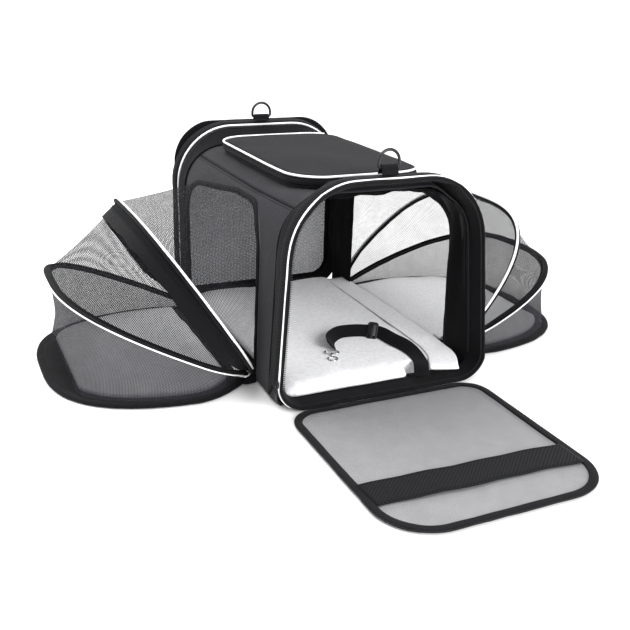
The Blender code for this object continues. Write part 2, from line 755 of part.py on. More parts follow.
def make_tether(parts, guides, webbing, plastic, chrome):
    path = spline_points(STRAP_ROUTE, 2)
    half, thick = STRAP_WIDTH / 2, STRAP_THICKNESS / 2
    section = [(-half, -thick), (half, -thick), (half, thick), (-half, thick)]
    identity = Matrix.Identity(4)
    swept("tether_strap", path, section, webbing, identity, parts, guides, cyclic=False)

    ahead, behind = Vector(STRAP_ROUTE[6]), Vector(STRAP_ROUTE[5])
    middle = (ahead + behind) / 2
    along = (ahead - behind).normalized()
    up = Vector((0.0, 0.0, 1.0))
    across = up.cross(along)
    turn = Matrix((across, up, along)).transposed().to_4x4()
    hump = rounded_box(-0.0115, 0.0115, 0.0012, 0.0052, 0.001, 0.0018, 2)
    matrix = Matrix.Translation(middle) @ turn
    plate("tether_adjuster", [hump], 0.012, plastic, matrix, parts)

    end, before = Vector(STRAP_ROUTE[-1]), Vector(STRAP_ROUTE[-2])
    along = (end - before).normalized()
    across = up.cross(along)
    lay = Matrix((along, across, up)).transposed().to_4x4()
    start = Matrix.Translation(end + along * 0.0008) @ lay
    eye = rounded_box(0.0016, 0.0090, -0.0090, 0.0090, 0.0030, 0.0030, 2)
    wire("tether_eye", eye, 0.0012, chrome, start, parts)
    barrel = [(0.0107, -0.0022), (0.0160, -0.0022), (0.0160, 0.0022), (0.0107, 0.0022)]
    hook = arc((0.0240, 0.0), 0.0062, 165, -120, 12)
    wire("tether_hook", hook, 0.0012, chrome, start, parts, cyclic=False)
    plate("tether_swivel", [barrel], SWIVEL_THICKNESS, chrome, start @ SWIVEL_LIFT, parts)
    pivot, tip = Vector((0.0186, 0.0002)), Vector((0.0203, -0.0040))
    gate = Matrix.Translation((pivot.x, pivot.y, 0.0))
    bar = [(0.0, 0.0), tuple(tip - pivot)]
    wire("tether_gate", bar, 0.0009, chrome, start @ gate, parts, cyclic=False)


def build():
    clear_scene()
    parts = make_collection("pet_carrier")
    guides = make_collection("cutters_and_sections", hidden=True)

    body_cloth = make_material("charcoal_polyester", (0.040, 0.040, 0.045), 0.85)
    binding = make_material("black_binding", (0.008, 0.008, 0.009), 0.75)
    webbing = make_material("black_webbing", (0.012, 0.012, 0.013), 0.80)
    white_piping = make_material("white_piping", (0.85, 0.85, 0.85), 0.55)
    mesh_cloth = make_material("grey_mesh", (0.30, 0.30, 0.31), 0.80)
    plush = make_material("white_plush", (0.85, 0.85, 0.86), 0.95)
    board = make_material("stiff_board", (0.020, 0.020, 0.022), 0.70)
    spring_steel = make_material("spring_steel", (0.45, 0.45, 0.46), 0.35, 1.0)
    black_metal = make_material("black_metal", (0.015, 0.015, 0.016), 0.35, 0.6)
    black_plastic = make_material("black_plastic", (0.015, 0.015, 0.015), 0.40)
    chrome = make_material("bright_chrome", (0.75, 0.75, 0.76), 0.15, 1.0)

    make_collars(parts, guides, binding, spring_steel, white_piping)
    make_body(parts, guides, body_cloth, binding)
    make_floor(parts, board, plush)
    make_lid(parts, body_cloth, white_piping, black_metal)
    for end in ENDS:
        make_door(end, parts, mesh_cloth, binding, webbing)
        make_ring(end, parts, webbing, black_metal)
    for side in SIDES:
        make_hoop(side, "upper_hoop", UPPER_HOOP, parts, guides, binding, spring_steel)
        make_hoop(side, "lower_hoop", LOWER_HOOP, parts, guides, binding, spring_steel)
        make_extension_floor(side, parts, guides, board, binding, plush)
        make_fan_panels(side, parts, mesh_cloth)
        make_anchors(side, parts, binding)
    make_door_sliders(parts, black_metal)
    make_tether(parts, guides, webbing, black_plastic, chrome)


build()
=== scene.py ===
"""The looks of an expandable soft-sided pet carrier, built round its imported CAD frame.

The carrier is a wire-framed cabin of charcoal polyester with a drop-down mesh front door, a
zipped rear door, a padded top lid and a fan of mesh on each side that opens over spring hoops.
Every length is in metres, in the CAD's own frame: +Z up, the front door towards -Y.
"""

import logging
import math
from collections.abc import Callable, Iterable, Sequence
from dataclasses import dataclass
from enum import Enum

import bmesh
import bpy
import numpy as np
from mathutils import Matrix, Vector, noise


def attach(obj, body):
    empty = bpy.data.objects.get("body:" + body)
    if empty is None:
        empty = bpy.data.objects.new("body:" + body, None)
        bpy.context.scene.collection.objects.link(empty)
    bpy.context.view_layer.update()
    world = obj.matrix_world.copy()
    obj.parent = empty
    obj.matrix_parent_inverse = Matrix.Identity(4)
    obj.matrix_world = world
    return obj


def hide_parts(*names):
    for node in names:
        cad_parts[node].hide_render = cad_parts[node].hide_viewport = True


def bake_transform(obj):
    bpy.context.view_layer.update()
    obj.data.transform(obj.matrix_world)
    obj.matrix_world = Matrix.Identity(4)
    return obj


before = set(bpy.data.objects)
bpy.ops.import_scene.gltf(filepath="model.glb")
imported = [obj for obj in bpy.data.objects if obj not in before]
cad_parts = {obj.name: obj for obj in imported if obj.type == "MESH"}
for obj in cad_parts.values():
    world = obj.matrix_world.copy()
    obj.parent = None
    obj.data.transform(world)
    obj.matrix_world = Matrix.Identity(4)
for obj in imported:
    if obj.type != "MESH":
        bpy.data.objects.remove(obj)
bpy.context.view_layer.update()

LOG = logging.getLogger("pet_carrier")
WEAVE_UV = "weave"
UP = Vector((0.0, 0.0, 1.0))

Loop = list[Vector]
Flat = list[tuple[float, float]]


class Side(Enum):
    """The two sides of the cabin, with the sign of their X."""

    LEFT = -1.0
    RIGHT = 1.0

    @property
    def word(self) -> str:
        """The side's name as the CAD nodes spell it."""
        return self.name.lower()


class End(Enum):
    """The two ends of the cabin, with the sign of their Y."""

    FRONT = -1.0
    REAR = 1.0

    @property
    def word(self) -> str:
        """The end's name as the CAD nodes spell it."""
        return self.name.lower()


# --- finishes -------------------------------------------------------------------------------


def linear(colour: str) -> tuple[float, float, float, float]:
    """Turns an sRGB hex colour to linear RGBA.

    Args:
        colour: Six hex digits after a hash sign.

    Returns:
        The linear colour, with an alpha of one.
    """
    parts = [int(colour[i : i + 2], 16) / 255 for i in (1, 3, 5)]
    made = [c / 12.92 if c <= 0.04045 else ((c + 0.055) / 1.055) ** 2.4 for c in parts]
    return (made[0], made[1], made[2], 1.0)


def add_node(
    tree: bpy.types.NodeTree, kind: str, inputs: dict | None = None, **settings: object
) -> bpy.types.Node:
    """Adds one shader node with its settings and links.

    Args:
        tree: The material's node tree.
        kind: The node's type name without the ShaderNode prefix.
        inputs: Values or output sockets, by the input's name or number.
        settings: The node's own properties.

    Returns:
        The new node.
    """
    node = tree.nodes.new(f"ShaderNode{kind}")
    for name, value in settings.items():
        setattr(node, name, value)
    for key, value in (inputs or {}).items():
        if isinstance(value, bpy.types.NodeSocket):
            tree.links.new(value, node.inputs[key])
        else:
            node.inputs[key].default_value = value
    return node


@dataclass(frozen=True)
class Finish:
    """A material made once and shared by every piece that wears it."""

    name: str
    slot: str
    roughness: float

    def material(self) -> bpy.types.Material:
        """Makes the material on first use and returns it."""
        known = bpy.data.materials.get(self.name)
        if known is not None:
            return known
        made = bpy.data.materials.new(self.name)
        made.use_nodes = True
        tree = made.node_tree
        shader = tree.nodes["Principled BSDF"]
        shader.inputs["Roughness"].default_value = self.roughness
        self.paint(tree, shader)
        return made

    def paint(self, tree: bpy.types.NodeTree, shader: bpy.types.Node) -> None:
        """Adds the finish's own nodes; each kind of finish has its own."""
        raise NotImplementedError


def thread_waves(
    tree: bpy.types.NodeTree, pitch: float, degrees: Sequence[float]
) -> list[bpy.types.NodeSocket]:
    """Makes one set of parallel ridges for each direction in which threads run.

    Args:
        tree: The material's node tree.
        pitch: Distance between two threads, in metres.
        degrees: The directions, in the cloth's own plane.

    Returns:
        One socket for each direction, from 0 between threads to 1 on a thread.
    """
    period_at_scale_one = 2 * math.pi / 20
    cloth = add_node(tree, "UVMap", uv_map=WEAVE_UV)
    waves = []
    for angle in degrees:
        turned = add_node(
            tree,
            "Mapping",
            {"Vector": cloth.outputs[0], "Rotation": (0.0, 0.0, math.radians(angle))},
        )
        wave = add_node(
            tree,
            "TexWave",
            {"Vector": turned.outputs[0], "Scale": period_at_scale_one / pitch, "Distortion": 0.0},
        )
        waves.append(wave.outputs["Fac"])
    return waves


@dataclass(frozen=True)
class WovenCloth(Finish):
    """Plain-woven polyester: crossing threads, slightly uneven in tone, with a faint nap."""

    face: str
    shade: str
    thread: float
    relief: float = 0.35
    sheen: float = 0.10
    patch: float = 0.10

    def paint(self, tree: bpy.types.NodeTree, shader: bpy.types.Node) -> None:
        """Crosses two sets of threads, over and under in turn."""
        warp, weft = thread_waves(tree, self.thread, (0.0, 90.0))
        cloth = add_node(tree, "UVMap", uv_map=WEAVE_UV)
        over = add_node(
            tree, "TexChecker", {"Vector": cloth.outputs[0], "Scale": 1.0 / self.thread}
        )
        height = add_node(
            tree, "Mix", {0: over.outputs["Fac"], 2: warp, 3: weft}, data_type="FLOAT"
        )
        place = add_node(tree, "TexCoord")
        worn = add_node(
            tree, "TexNoise", {"Vector": place.outputs["Object"], "Scale": 22.0, "Detail": 3.0}
        )
        fuzz = add_node(
            tree, "TexNoise", {"Vector": place.outputs["Object"], "Scale": 420.0, "Detail": 2.0}
        )
        tone = add_node(
            tree,
            "MapRange",
            {0: worn.outputs["Fac"], 1: 0.3, 2: 0.7, 3: 1.0 - self.patch, 4: 1.0 + self.patch},
        )
        # Between the threads the colour falls to the shade colour: painted shade in the dips of the
        # weave.
        threads = add_node(
            tree,
            "Mix",
            {0: height.outputs[0], 6: linear(self.shade), 7: linear(self.face)},
            data_type="RGBA",
        )
        aged = add_node(
            tree, "VectorMath", {0: threads.outputs[2], 3: tone.outputs[0]}, operation="SCALE"
        )
        tree.links.new(aged.outputs[0], shader.inputs["Base Color"])
        rough = add_node(
            tree,
            "MapRange",
            {
                0: fuzz.outputs["Fac"],
                1: 0.3,
                2: 0.7,
                3: self.roughness - 0.06,
                4: self.roughness + 0.06,
            },
        )
        tree.links.new(rough.outputs[0], shader.inputs["Roughness"])
        surface = add_node(
            tree,
            "Math",
            {0: fuzz.outputs["Fac"], 1: 0.35, 2: height.outputs[0]},
            operation="MULTIPLY_ADD",
        )
        bump = add_node(
            tree,
            "Bump",
            {"Height": surface.outputs[0], "Strength": self.relief, "Distance": self.thread * 0.3},
        )
        tree.links.new(bump.outputs[0], shader.inputs["Normal"])
        shader.inputs["Sheen Weight"].default_value = self.sheen
        shader.inputs["Sheen Roughness"].default_value = 0.5
        shader.inputs["Specular IOR Level"].default_value = 0.08


@dataclass(frozen=True)
class MeshCloth(Finish):
    """Knitted mesh: open holes between threads, so that what is behind it shows."""

    thread: str
    pitch: float
    closed: float
    open: float
    degrees: tuple[float, ...] = (0.0, 90.0)
    backing: str = ""

    def paint(self, tree: bpy.types.NodeTree, shader: bpy.types.Node) -> None:
        """Opens a hole wherever the sets of threads leave a gap between them."""
        waves = thread_waves(tree, self.pitch, self.degrees)
        total = waves[0]
        for wave in waves[1:]:
            total = add_node(tree, "Math", {0: total, 1: wave}, operation="ADD").outputs[0]
        gap = add_node(tree, "Math", {0: total, 1: float(len(waves))}, operation="DIVIDE")
        place = add_node(tree, "TexCoord")
        uneven = add_node(
            tree, "TexNoise", {"Vector": place.outputs["Object"], "Scale": 60.0, "Detail": 3.0}
        )
        shift = add_node(
            tree,
            "MapRange",
            {0: uneven.outputs["Fac"], 1: 0.3, 2: 0.7, 3: -0.03, 4: 0.03},
        )
        moved = add_node(tree, "Math", {0: gap.outputs[0], 1: shift.outputs[0]}, operation="ADD")
        cover = add_node(
            tree,
            "MapRange",
            {0: moved.outputs[0], 1: 0.32, 2: 0.68, 3: self.closed, 4: self.open},
        )
        tree.links.new(cover.outputs[0], shader.inputs["Alpha"])
        tone = add_node(
            tree,
            "MapRange",
            {0: uneven.outputs["Fac"], 1: 0.25, 2: 0.75, 3: 0.93, 4: 1.07},
        )
        hole = add_node(tree, "MapRange", {0: moved.outputs[0], 1: 0.45, 2: 0.70, 3: 0.0, 4: 1.0})
        knit = add_node(
            tree,
            "Mix",
            {0: hole.outputs[0], 6: linear(self.thread), 7: linear(self.backing or self.thread)},
            data_type="RGBA",
        )
        coloured = add_node(
            tree, "VectorMath", {0: knit.outputs[2], 3: tone.outputs[0]}, operation="SCALE"
        )
        tree.links.new(coloured.outputs[0], shader.inputs["Base Color"])
        bump = add_node(
            tree,
            "Bump",
            {"Height": gap.outputs[0], "Strength": 0.4, "Distance": self.pitch * 0.2},
            invert=True,
        )
        tree.links.new(bump.outputs[0], shader.inputs["Normal"])
        shader.inputs["Specular IOR Level"].default_value = 0.08


@dataclass(frozen=True)
class Fleece(Finish):
    """Short-pile fleece: a soft clumped nap with no weave to see."""

    face: str
    shade: str
    clump: float
    relief: float = 0.5

    def paint(self, tree: bpy.types.NodeTree, shader: bpy.types.Node) -> None:
        """Layers coarse clumps and fine pile."""
        place = add_node(tree, "TexCoord")
        clumps = add_node(
            tree,
            "TexNoise",
            {"Vector": place.outputs["Object"], "Scale": 1.0 / self.clump, "Detail": 4.0},
        )
        pile = add_node(
            tree,
            "TexNoise",
            {"Vector": place.outputs["Object"], "Scale": 6.0 / self.clump, "Detail": 2.0},
        )
        both = add_node(
            tree,
            "Math",
            {0: pile.outputs["Fac"], 1: 0.4, 2: clumps.outputs["Fac"]},
            operation="MULTIPLY_ADD",
        )
        depth = add_node(tree, "MapRange", {0: both.outputs[0], 1: 0.45, 2: 0.95, 3: 0.0, 4: 1.0})
        # The low parts of the pile take the shade colour: painted shade in the hollows between
        # clumps.
        tint = add_node(
            tree,
            "Mix",
            {0: depth.outputs[0], 6: linear(self.shade), 7: linear(self.face)},
            data_type="RGBA",
        )
        tree.links.new(tint.outputs[2], shader.inputs["Base Color"])
        bump = add_node(
            tree,
            "Bump",
            {"Height": both.outputs[0], "Strength": self.relief, "Distance": self.clump * 0.5},
        )
        tree.links.new(bump.outputs[0], shader.inputs["Normal"])
        shader.inputs["Sheen Weight"].default_value = 0.35
        shader.inputs["Sheen Roughness"].default_value = 0.6
        shader.inputs["Specular IOR Level"].default_value = 0.2


@dataclass(frozen=True)
class Hardware(Finish):
    """Cast or moulded fittings: a fine grain, and rubbed patches that catch the light."""

    face: str
    metallic: float = 0.0
    grain: float = 0.0012
    relief: float = 0.12

    def paint(self, tree: bpy.types.NodeTree, shader: bpy.types.Node) -> None:
        """Varies gloss and height by a fine grain."""
        place = add_node(tree, "TexCoord")
        grain = add_node(
            tree,
            "TexNoise",
            {"Vector": place.outputs["Object"], "Scale": 1.0 / self.grain, "Detail": 3.0},
        )
        rubbed = add_node(
            tree, "TexNoise", {"Vector": place.outputs["Object"], "Scale": 140.0, "Detail": 2.0}
        )
        rough = add_node(
            tree,
            "MapRange",
            {
                0: rubbed.outputs["Fac"],
                1: 0.3,
                2: 0.7,
                3: self.roughness * 0.75,
                4: self.roughness * 1.3,
            },
        )
        tree.links.new(rough.outputs[0], shader.inputs["Roughness"])
        tone = add_node(
            tree, "MapRange", {0: grain.outputs["Fac"], 1: 0.3, 2: 0.7, 3: 0.85, 4: 1.12}
        )
        tint = add_node(
            tree, "VectorMath", {0: linear(self.face)[:3], 3: tone.outputs[0]}, operation="SCALE"
        )
        tree.links.new(tint.outputs[0], shader.inputs["Base Color"])
        bump = add_node(
            tree,
            "Bump",
            {"Height": grain.outputs["Fac"], "Strength": self.relief, "Distance": self.grain * 0.3},
        )
        tree.links.new(bump.outputs[0], shader.inputs["Normal"])
        shader.inputs["Metallic"].default_value = self.metallic


# 600-denier polyester, about 0.6 mm between threads. Drawn at 2 mm, or it would not show.
CHARCOAL_OXFORD = WovenCloth(
    "charcoal_oxford_polyester", "body_fabric", 0.85, "#29282c", "#1c1b1f", 0.0020
)
# The same cloth from inside: black cloth made darker still, as painted shade for the cabin's
# inside. Loose enough to crease.
BLACK_LINING_PAINTED_SHADE = WovenCloth(
    "black_polyester_lining", "binding", 0.80, "#0e0e11", "#070709", 0.0020, 0.25, 0.03, 0.18
)
# Folded tape, ribbed along its length, 1 mm ribs drawn at 2 mm.
BLACK_TAPE = WovenCloth(
    "black_binding_tape", "binding", 0.78, "#121215", "#09090b", 0.0020, 0.45, 0.04
)
# The same charcoal cloth a shade darker, with the wrong side out.
DARK_OXFORD = WovenCloth(
    "dark_oxford_polyester", "body_fabric", 0.85, "#151518", "#0c0c0f", 0.0020, 0.35, 0.04
)
# Nylon webbing, woven in 2 mm picks: a deeper relief than the tape's.
BLACK_WEBBING = WovenCloth(
    "black_nylon_webbing", "webbing", 0.72, "#141418", "#08080a", 0.0024, 0.6, 0.04, 0.06
)
# Spun cotton-polyester cord cover, bright white with faint diagonal twist.
WHITE_CORD = WovenCloth(
    "white_piping_cord", "white_piping", 0.60, "#ffffff", "#e4e4e6", 0.0016, 0.25, 0.15, 0.02
)
BLACK_THREAD = WovenCloth(
    "black_sewing_thread", "binding", 0.65, "#1a1a1e", "#0c0c0e", 0.0010, 0.2, 0.0, 0.02
)
# Polyester mesh with 1.6 mm between its threads, dark grey, a bit more than half of it open.
FAN_MESH = MeshCloth("grey_polyester_mesh", "mesh", 0.85, "#1a1a1d", 0.0021, 0.94, 0.15)
# The lowest panel's mesh is darker and less open than the others, so that less is seen through it.
LOW_FAN_MESH = MeshCloth("grey_polyester_mesh_low", "mesh", 0.85, "#2a2a2e", 0.0018, 0.95, 0.56)
# The front door's mesh is a paler and closer knit.
DOOR_MESH = MeshCloth("pale_polyester_mesh", "mesh", 0.85, "#7e7e80", 0.0016, 0.95, 0.55)
# The rear door's mesh is a coarse honeycomb knit over a dark backing, 5 mm from hole to hole.
HONEYCOMB_MESH = MeshCloth(
    "honeycomb_polyester_mesh",
    "mesh",
    0.85,
    "#b2b2b6",
    0.0052,
    0.99,
    0.90,
    (0.0, 60.0, 120.0),
    "#3a3a3e",
)
WHITE_FLEECE = Fleece("white_polyester_fleece", "white_plush", 0.92, "#fbfbfc", "#e6e6ea", 0.0045)
SPRING_STEEL = Hardware("drawn_spring_steel", "spring_steel", 0.35, "#b4b4b6", 1.0)
BLACK_METAL = Hardware("black_lacquered_steel", "black_metal", 0.30, "#1d1d20", 0.4)
BLACK_PLASTIC = Hardware("moulded_black_acetal", "black_plastic", 0.42, "#161618")
CHROME = Hardware("nickel_plated_zinc", "bright_chrome", 0.18, "#c9c9cc", 1.0)
# Fibreboard sewn into black polyester.
BOARD_COVER = WovenCloth(
    "board_in_black_polyester", "stiff_board", 0.82, "#1b1b1e", "#111113", 0.0020
)


# --- outlines -------------------------------------------------------------------------------


def box_loop(
    low: tuple[float, float],
    high: tuple[float, float],
    radii: tuple[float, float],
    corner: int = 10,
    across: int = 14,
    up: int = 14,
) -> Flat:
    """Draws a rounded box anticlockwise from the foot of its right side.

    Args:
        low: The lowest corner.
        high: The highest corner.
        radii: The radius at the foot and the one at the head.
        corner: Steps in each corner.
        across: Steps along the foot and the head.
        up: Steps up each side.

    Returns:
        A closed outline, with the same number of points for any size.
    """
    foot, head = radii
    arcs = (
        (high[0] - foot, low[1] + foot, foot, -90.0, up),
        (high[0] - head, high[1] - head, head, 0.0, across),
        (low[0] + head, high[1] - head, head, 90.0, up),
        (low[0] + foot, low[1] + foot, foot, 180.0, across),
    )
    bends = []
    for x, y, radius, start, _ in arcs:
        turns = [math.radians(start + 90.0 * i / corner) for i in range(corner + 1)]
        bends.append([(x + radius * math.cos(t), y + radius * math.sin(t)) for t in turns])
    points: Flat = []
    for bend, following, row in zip(bends, bends[1:] + bends[:1], arcs):
        (x0, y0), (x1, y1) = bend[-1], following[0]
        steps = row[4]
        points += bend
        points += [
            (x0 + (x1 - x0) * i / steps, y0 + (y1 - y0) * i / steps) for i in range(1, steps)
        ]
    return points


def oval(half_wide: float, half_high: float, power: float = 2.0, count: int = 16) -> Flat:
    """Draws a closed oval, squarer as its power rises."""
    points = []
    for i in range(count):
        turn = 2 * math.pi * i / count
        c, s = math.cos(turn), math.sin(turn)
        points.append(
            (
                math.copysign(abs(c) ** (2 / power), c) * half_wide,
                math.copysign(abs(s) ** (2 / power), s) * half_high,
            )
        )
    return points


def soft_section(knots: Sequence[tuple[float, float]], per_span: int) -> Flat:
    """Rounds a closed section through its knots."""
    ring = [(a, b, 0.0) for a, b in (knots[-1], *knots, knots[0], knots[1])]
    smooth = smooth_route(ring, per_span)
    return [(p.x, p.y) for p in smooth[per_span : -per_span - 1]]


def smooth_route(knots: Sequence[Sequence[float]], per_span: int) -> Loop:
    """Runs a smooth curve through a route's points (Catmull-Rom)."""
    fixed = [Vector(p) for p in knots]
    ends = [2 * fixed[0] - fixed[1], *fixed, 2 * fixed[-1] - fixed[-2]]
    points = []
    for a, b, c, d in zip(ends, ends[1:], ends[2:], ends[3:]):
        for step in range(per_span):
            t = step / per_span
            points.append(
                0.5
                * (
                    2 * b
                    + (c - a) * t
                    + (2 * a - 5 * b + 4 * c - d) * t**2
                    + (3 * b - a - 3 * c + d) * t**3
                )
            )
    points.append(ends[-2])
    return points


def evenly(route: Loop, count: int, closed: bool = False) -> Loop:
    """Spreads points at equal distances along a route.

    Args:
        route: The points that the route passes.
        count: How many points to return.
        closed: Whether the route returns to its start, which is then left off the end.

    Returns:
        The spread points.
    """
    line = np.array([*route, route[0]] if closed else route, float)
    lengths = np.concatenate([[0.0], np.cumsum(np.linalg.norm(np.diff(line, axis=0), axis=1))])
    wanted = np.linspace(0.0, lengths[-1], count + 1 if closed else count)[:count]
    return [Vector([float(np.interp(w, lengths, line[:, k])) for k in range(3)]) for w in wanted]


# --- makers ---------------------------------------------------------------------------------


def opened(loop: Loop) -> Loop:
    """Turns a closed loop with a gap in it so that the gap falls between its ends."""
    gap = max(range(len(loop)), key=lambda i: (loop[i] - loop[i - 1]).length)
    return loop[gap:] + loop[:gap]


def cloth(
    name: str,
    rows: Sequence[Loop],
    wrap: bool = False,
    close: bool = False,
    caps: bool = False,
    flat: Callable[[Vector], tuple[float, float]] | None = None,
) -> bpy.types.Object:
    """Makes a mesh between rows of points, with its weave laid out in metres.

    Args:
        name: The piece's name.
        rows: Rows of points, each with the same number of points.
        wrap: Whether each row closes on itself.
        close: Whether the last row joins the first.
        caps: Whether the first and the last row are filled.
        flat: Gives a point's place in the weave. Without it, distances along the rows do.

    Returns:
        The new object, smooth shaded.
    """
    down, across = len(rows), len(rows[0])
    grid = np.array([[tuple(p) for p in row] for row in rows], float)
    verts = grid.reshape(-1, 3)
    run = np.concatenate([grid, grid[:, :1]], axis=1) if wrap else grid
    run = np.concatenate([run, run[:1]], axis=0) if close else run
    along_u, along_v = np.zeros(run.shape[:2]), np.zeros(run.shape[:2])
    along_u[:, 1:] = np.cumsum(np.linalg.norm(np.diff(run, axis=1), axis=2), axis=1)
    along_v[1:, :] = np.cumsum(np.linalg.norm(np.diff(run, axis=0), axis=2), axis=0)
    faces, weave = [], []
    for r in range(down if close else down - 1):
        for c in range(across if wrap else across - 1):
            corners = ((r, c), (r, c + 1), (r + 1, c + 1), (r + 1, c))
            faces.append([(i % down) * across + (j % across) for i, j in corners])
            if flat is None:
                weave += [(along_u[i, j], along_v[i, j]) for i, j in corners]
            else:
                weave += [flat(Vector(grid[i % down, j % across])) for i, j in corners]
    if caps:
        for row in (range(across - 1, -1, -1), range((down - 1) * across, down * across)):
            faces.append(list(row))
            spots = [verts[k] for k in row]
            weave += [flat(Vector(p)) if flat else (float(p[0]), float(p[1])) for p in spots]
    mesh = bpy.data.meshes.new(name)
    mesh.from_pydata([tuple(v) for v in verts], [], faces)
    layer = mesh.uv_layers.new(name=WEAVE_UV)
    layer.data.foreach_set("uv", np.array(weave, float).ravel())
    mesh.validate()
    mesh.shade_smooth()
    obj = bpy.data.objects.new(name, mesh)
    bpy.context.scene.collection.objects.link(obj)
    return obj


def tidy_normals(obj: bpy.types.Object) -> bpy.types.Object:
    """Turns a closed mesh's faces outwards."""
    shape = bmesh.new()
    shape.from_mesh(obj.data)
    bmesh.ops.recalc_face_normals(shape, faces=shape.faces)
    shape.to_mesh(obj.data)
    shape.free()
    return obj


def sweep(
    name: str,
    path: Loop,
    section: Flat,
    normal: Vector | Sequence[Vector],
    closed: bool,
    scale: Callable[[float], float] | None = None,
) -> bpy.types.Object:
    """Carries a closed section along a path.

    Args:
        name: The piece's name.
        path: The points to follow.
        section: Pairs of distances, away from the path's centre and along the normal.
        normal: One normal for the whole path or one for each point.
        closed: Whether the path returns to its start.
        scale: The section's size at each share of the path, from 0 to 1.

    Returns:
        A closed mesh.
    """
    count = len(path)
    rows = []
    for i, point in enumerate(path):
        before = path[i - 1] if i or closed else point
        after = path[(i + 1) % count] if i < count - 1 or closed else point
        ahead = (after - before).normalized()
        wanted = normal if isinstance(normal, Vector) else normal[i]
        up = (wanted - ahead * wanted.dot(ahead)).normalized()
        out = ahead.cross(up)
        size = scale(i / (count - 1)) if scale else 1.0
        rows.append([point + (out * a + up * b) * size for a, b in section])
    obj = cloth(name, rows, wrap=True, close=closed, caps=not closed)
    return tidy_normals(obj)


def pillow(
    name: str,
    rings: Sequence[tuple[Flat, float]],
    place: Matrix,
) -> bpy.types.Object:
    """Makes a closed soft shape from flat outlines at rising and falling heights.

    Args:
        name: The piece's name.
        rings: Outlines with their heights, from the middle of the back to that of the face.
        place: Carries the flat plane into the frame.

    Returns:
        A closed mesh with its weave drawn flat.
    """
    back = place.inverted()
    rows = [[place @ Vector((x, y, high)) for x, y in outline] for outline, high in rings]

    def flat(point: Vector) -> tuple[float, float]:
        """Lays a point back on the flat plane."""
        local = back @ point
        return (local.x, local.y)

    obj = cloth(name, rows, wrap=True, caps=True, flat=flat)
    return tidy_normals(obj)


def shrunk(outline: Flat, centre: tuple[float, float], share: float) -> Flat:
    """Draws an outline again at a share of its size about a centre."""
    return [
        (centre[0] + (x - centre[0]) * share, centre[1] + (y - centre[1]) * share)
        for x, y in outline
    ]


def thicken(obj: bpy.types.Object, thickness: float, inside: Vector) -> bpy.types.Object:
    """Gives a sheet its thickness, on the side that faces a point."""
    mesh = obj.data
    turn = sum((f.center - inside).dot(f.normal) * f.area for f in mesh.polygons)
    solid = obj.modifiers.new("thickness", "SOLIDIFY")
    solid.thickness = thickness
    solid.offset = -1.0 if turn > 0 else 1.0
    return settle(obj)


def settle(obj: bpy.types.Object) -> bpy.types.Object:
    """Applies every modifier, so that the mesh is final."""
    bpy.context.view_layer.update()
    seen = obj.evaluated_get(bpy.context.evaluated_depsgraph_get())
    mesh = bpy.data.meshes.new_from_object(seen)
    obj.modifiers.clear()
    obj.data = mesh
    return obj


def ruffle(
    obj: bpy.types.Object,
    height: float,
    wave: Sequence[float],
    seed: float,
    mask: Callable[[Vector], float] | None = None,
) -> bpy.types.Object:
    """Moves a mesh along its normals in soft random waves.

    Args:
        obj: The piece.
        height: The furthest that a point moves.
        wave: The waves' length along X, Y and Z.
        seed: Shifts the waves, so that no two pieces match.
        mask: The share of the height that a point takes, from its place.

    Returns:
        The same object.
    """
    mesh = obj.data
    moved = []
    for v in mesh.vertices:
        at = Vector([c / w for c, w in zip(v.co, wave)]) + Vector((seed, seed * 1.7, -seed))
        share = mask(v.co) if mask else 1.0
        moved.append(v.co + v.normal * (height * share * 1.6 * noise.noise(at)))
    for v, place in zip(mesh.vertices, moved):
        v.co = place
    mesh.update()
    return obj


def dashes(
    name: str,
    path: Loop,
    normal: Vector | Sequence[Vector],
    pitch: float,
    size: tuple[float, float, float],
    closed: bool,
) -> bpy.types.Object:
    """Sets small rounded bars along a path: stitches, or the teeth of a zip.

    Args:
        name: The piece's name.
        path: The line that the bars stand on.
        normal: The surface's normal, for the whole path or for each of its points.
        pitch: Distance from bar to bar.
        size: A bar's length along the path, its width and its height.
        closed: Whether the path returns to its start.

    Returns:
        One mesh with every bar in it.
    """
    line = [*path, path[0]] if closed else path
    ups = [normal] * len(line) if isinstance(normal, Vector) else [*normal, normal[0]][: len(line)]
    lengths = np.concatenate(
        [[0.0], np.cumsum([(b - a).length for a, b in zip(line, line[1:])])]
    )
    count = int(lengths[-1] / pitch)
    long, wide, high = (s / 2 for s in size)
    ring = ((1.0, 0.0), (0.0, 1.0), (-1.0, 0.0), (0.0, -1.0))
    verts, faces = [], []
    for n in range(count):
        at = (n + 0.5) * lengths[-1] / count
        k = min(int(np.searchsorted(lengths, at)), len(line) - 1)
        share = (at - lengths[k - 1]) / max(lengths[k] - lengths[k - 1], 1e-9)
        middle = line[k - 1].lerp(line[k], share)
        ahead = (line[k] - line[k - 1]).normalized()
        up = (ups[k] - ahead * ups[k].dot(ahead)).normalized()
        out = ahead.cross(up)
        start = len(verts)
        verts.append(middle - ahead * long)
        for step in (-0.55, 0.55):
            for a, b in ring:
                verts.append(middle + ahead * long * step + out * wide * a + up * high * b)
        verts.append(middle + ahead * long)
        for j in range(4):
            a, b = start + 1 + j, start + 1 + (j + 1) % 4
            faces.append((start, b, a))
            faces.append((a, b, b + 4, a + 4))
            faces.append((a + 4, b + 4, start + 9))
    mesh = bpy.data.meshes.new(name)
    mesh.from_pydata([tuple(v) for v in verts], [], faces)
    layer = mesh.uv_layers.new(name=WEAVE_UV)
    spots = [(mesh.vertices[loop.vertex_index].co.x, mesh.vertices[loop.vertex_index].co.y)
             for loop in mesh.loops]
    layer.data.foreach_set("uv", np.array(spots, float).ravel())
    mesh.shade_smooth()
    obj = bpy.data.objects.new(name, mesh)
    bpy.context.scene.collection.objects.link(obj)
    return tidy_normals(obj)


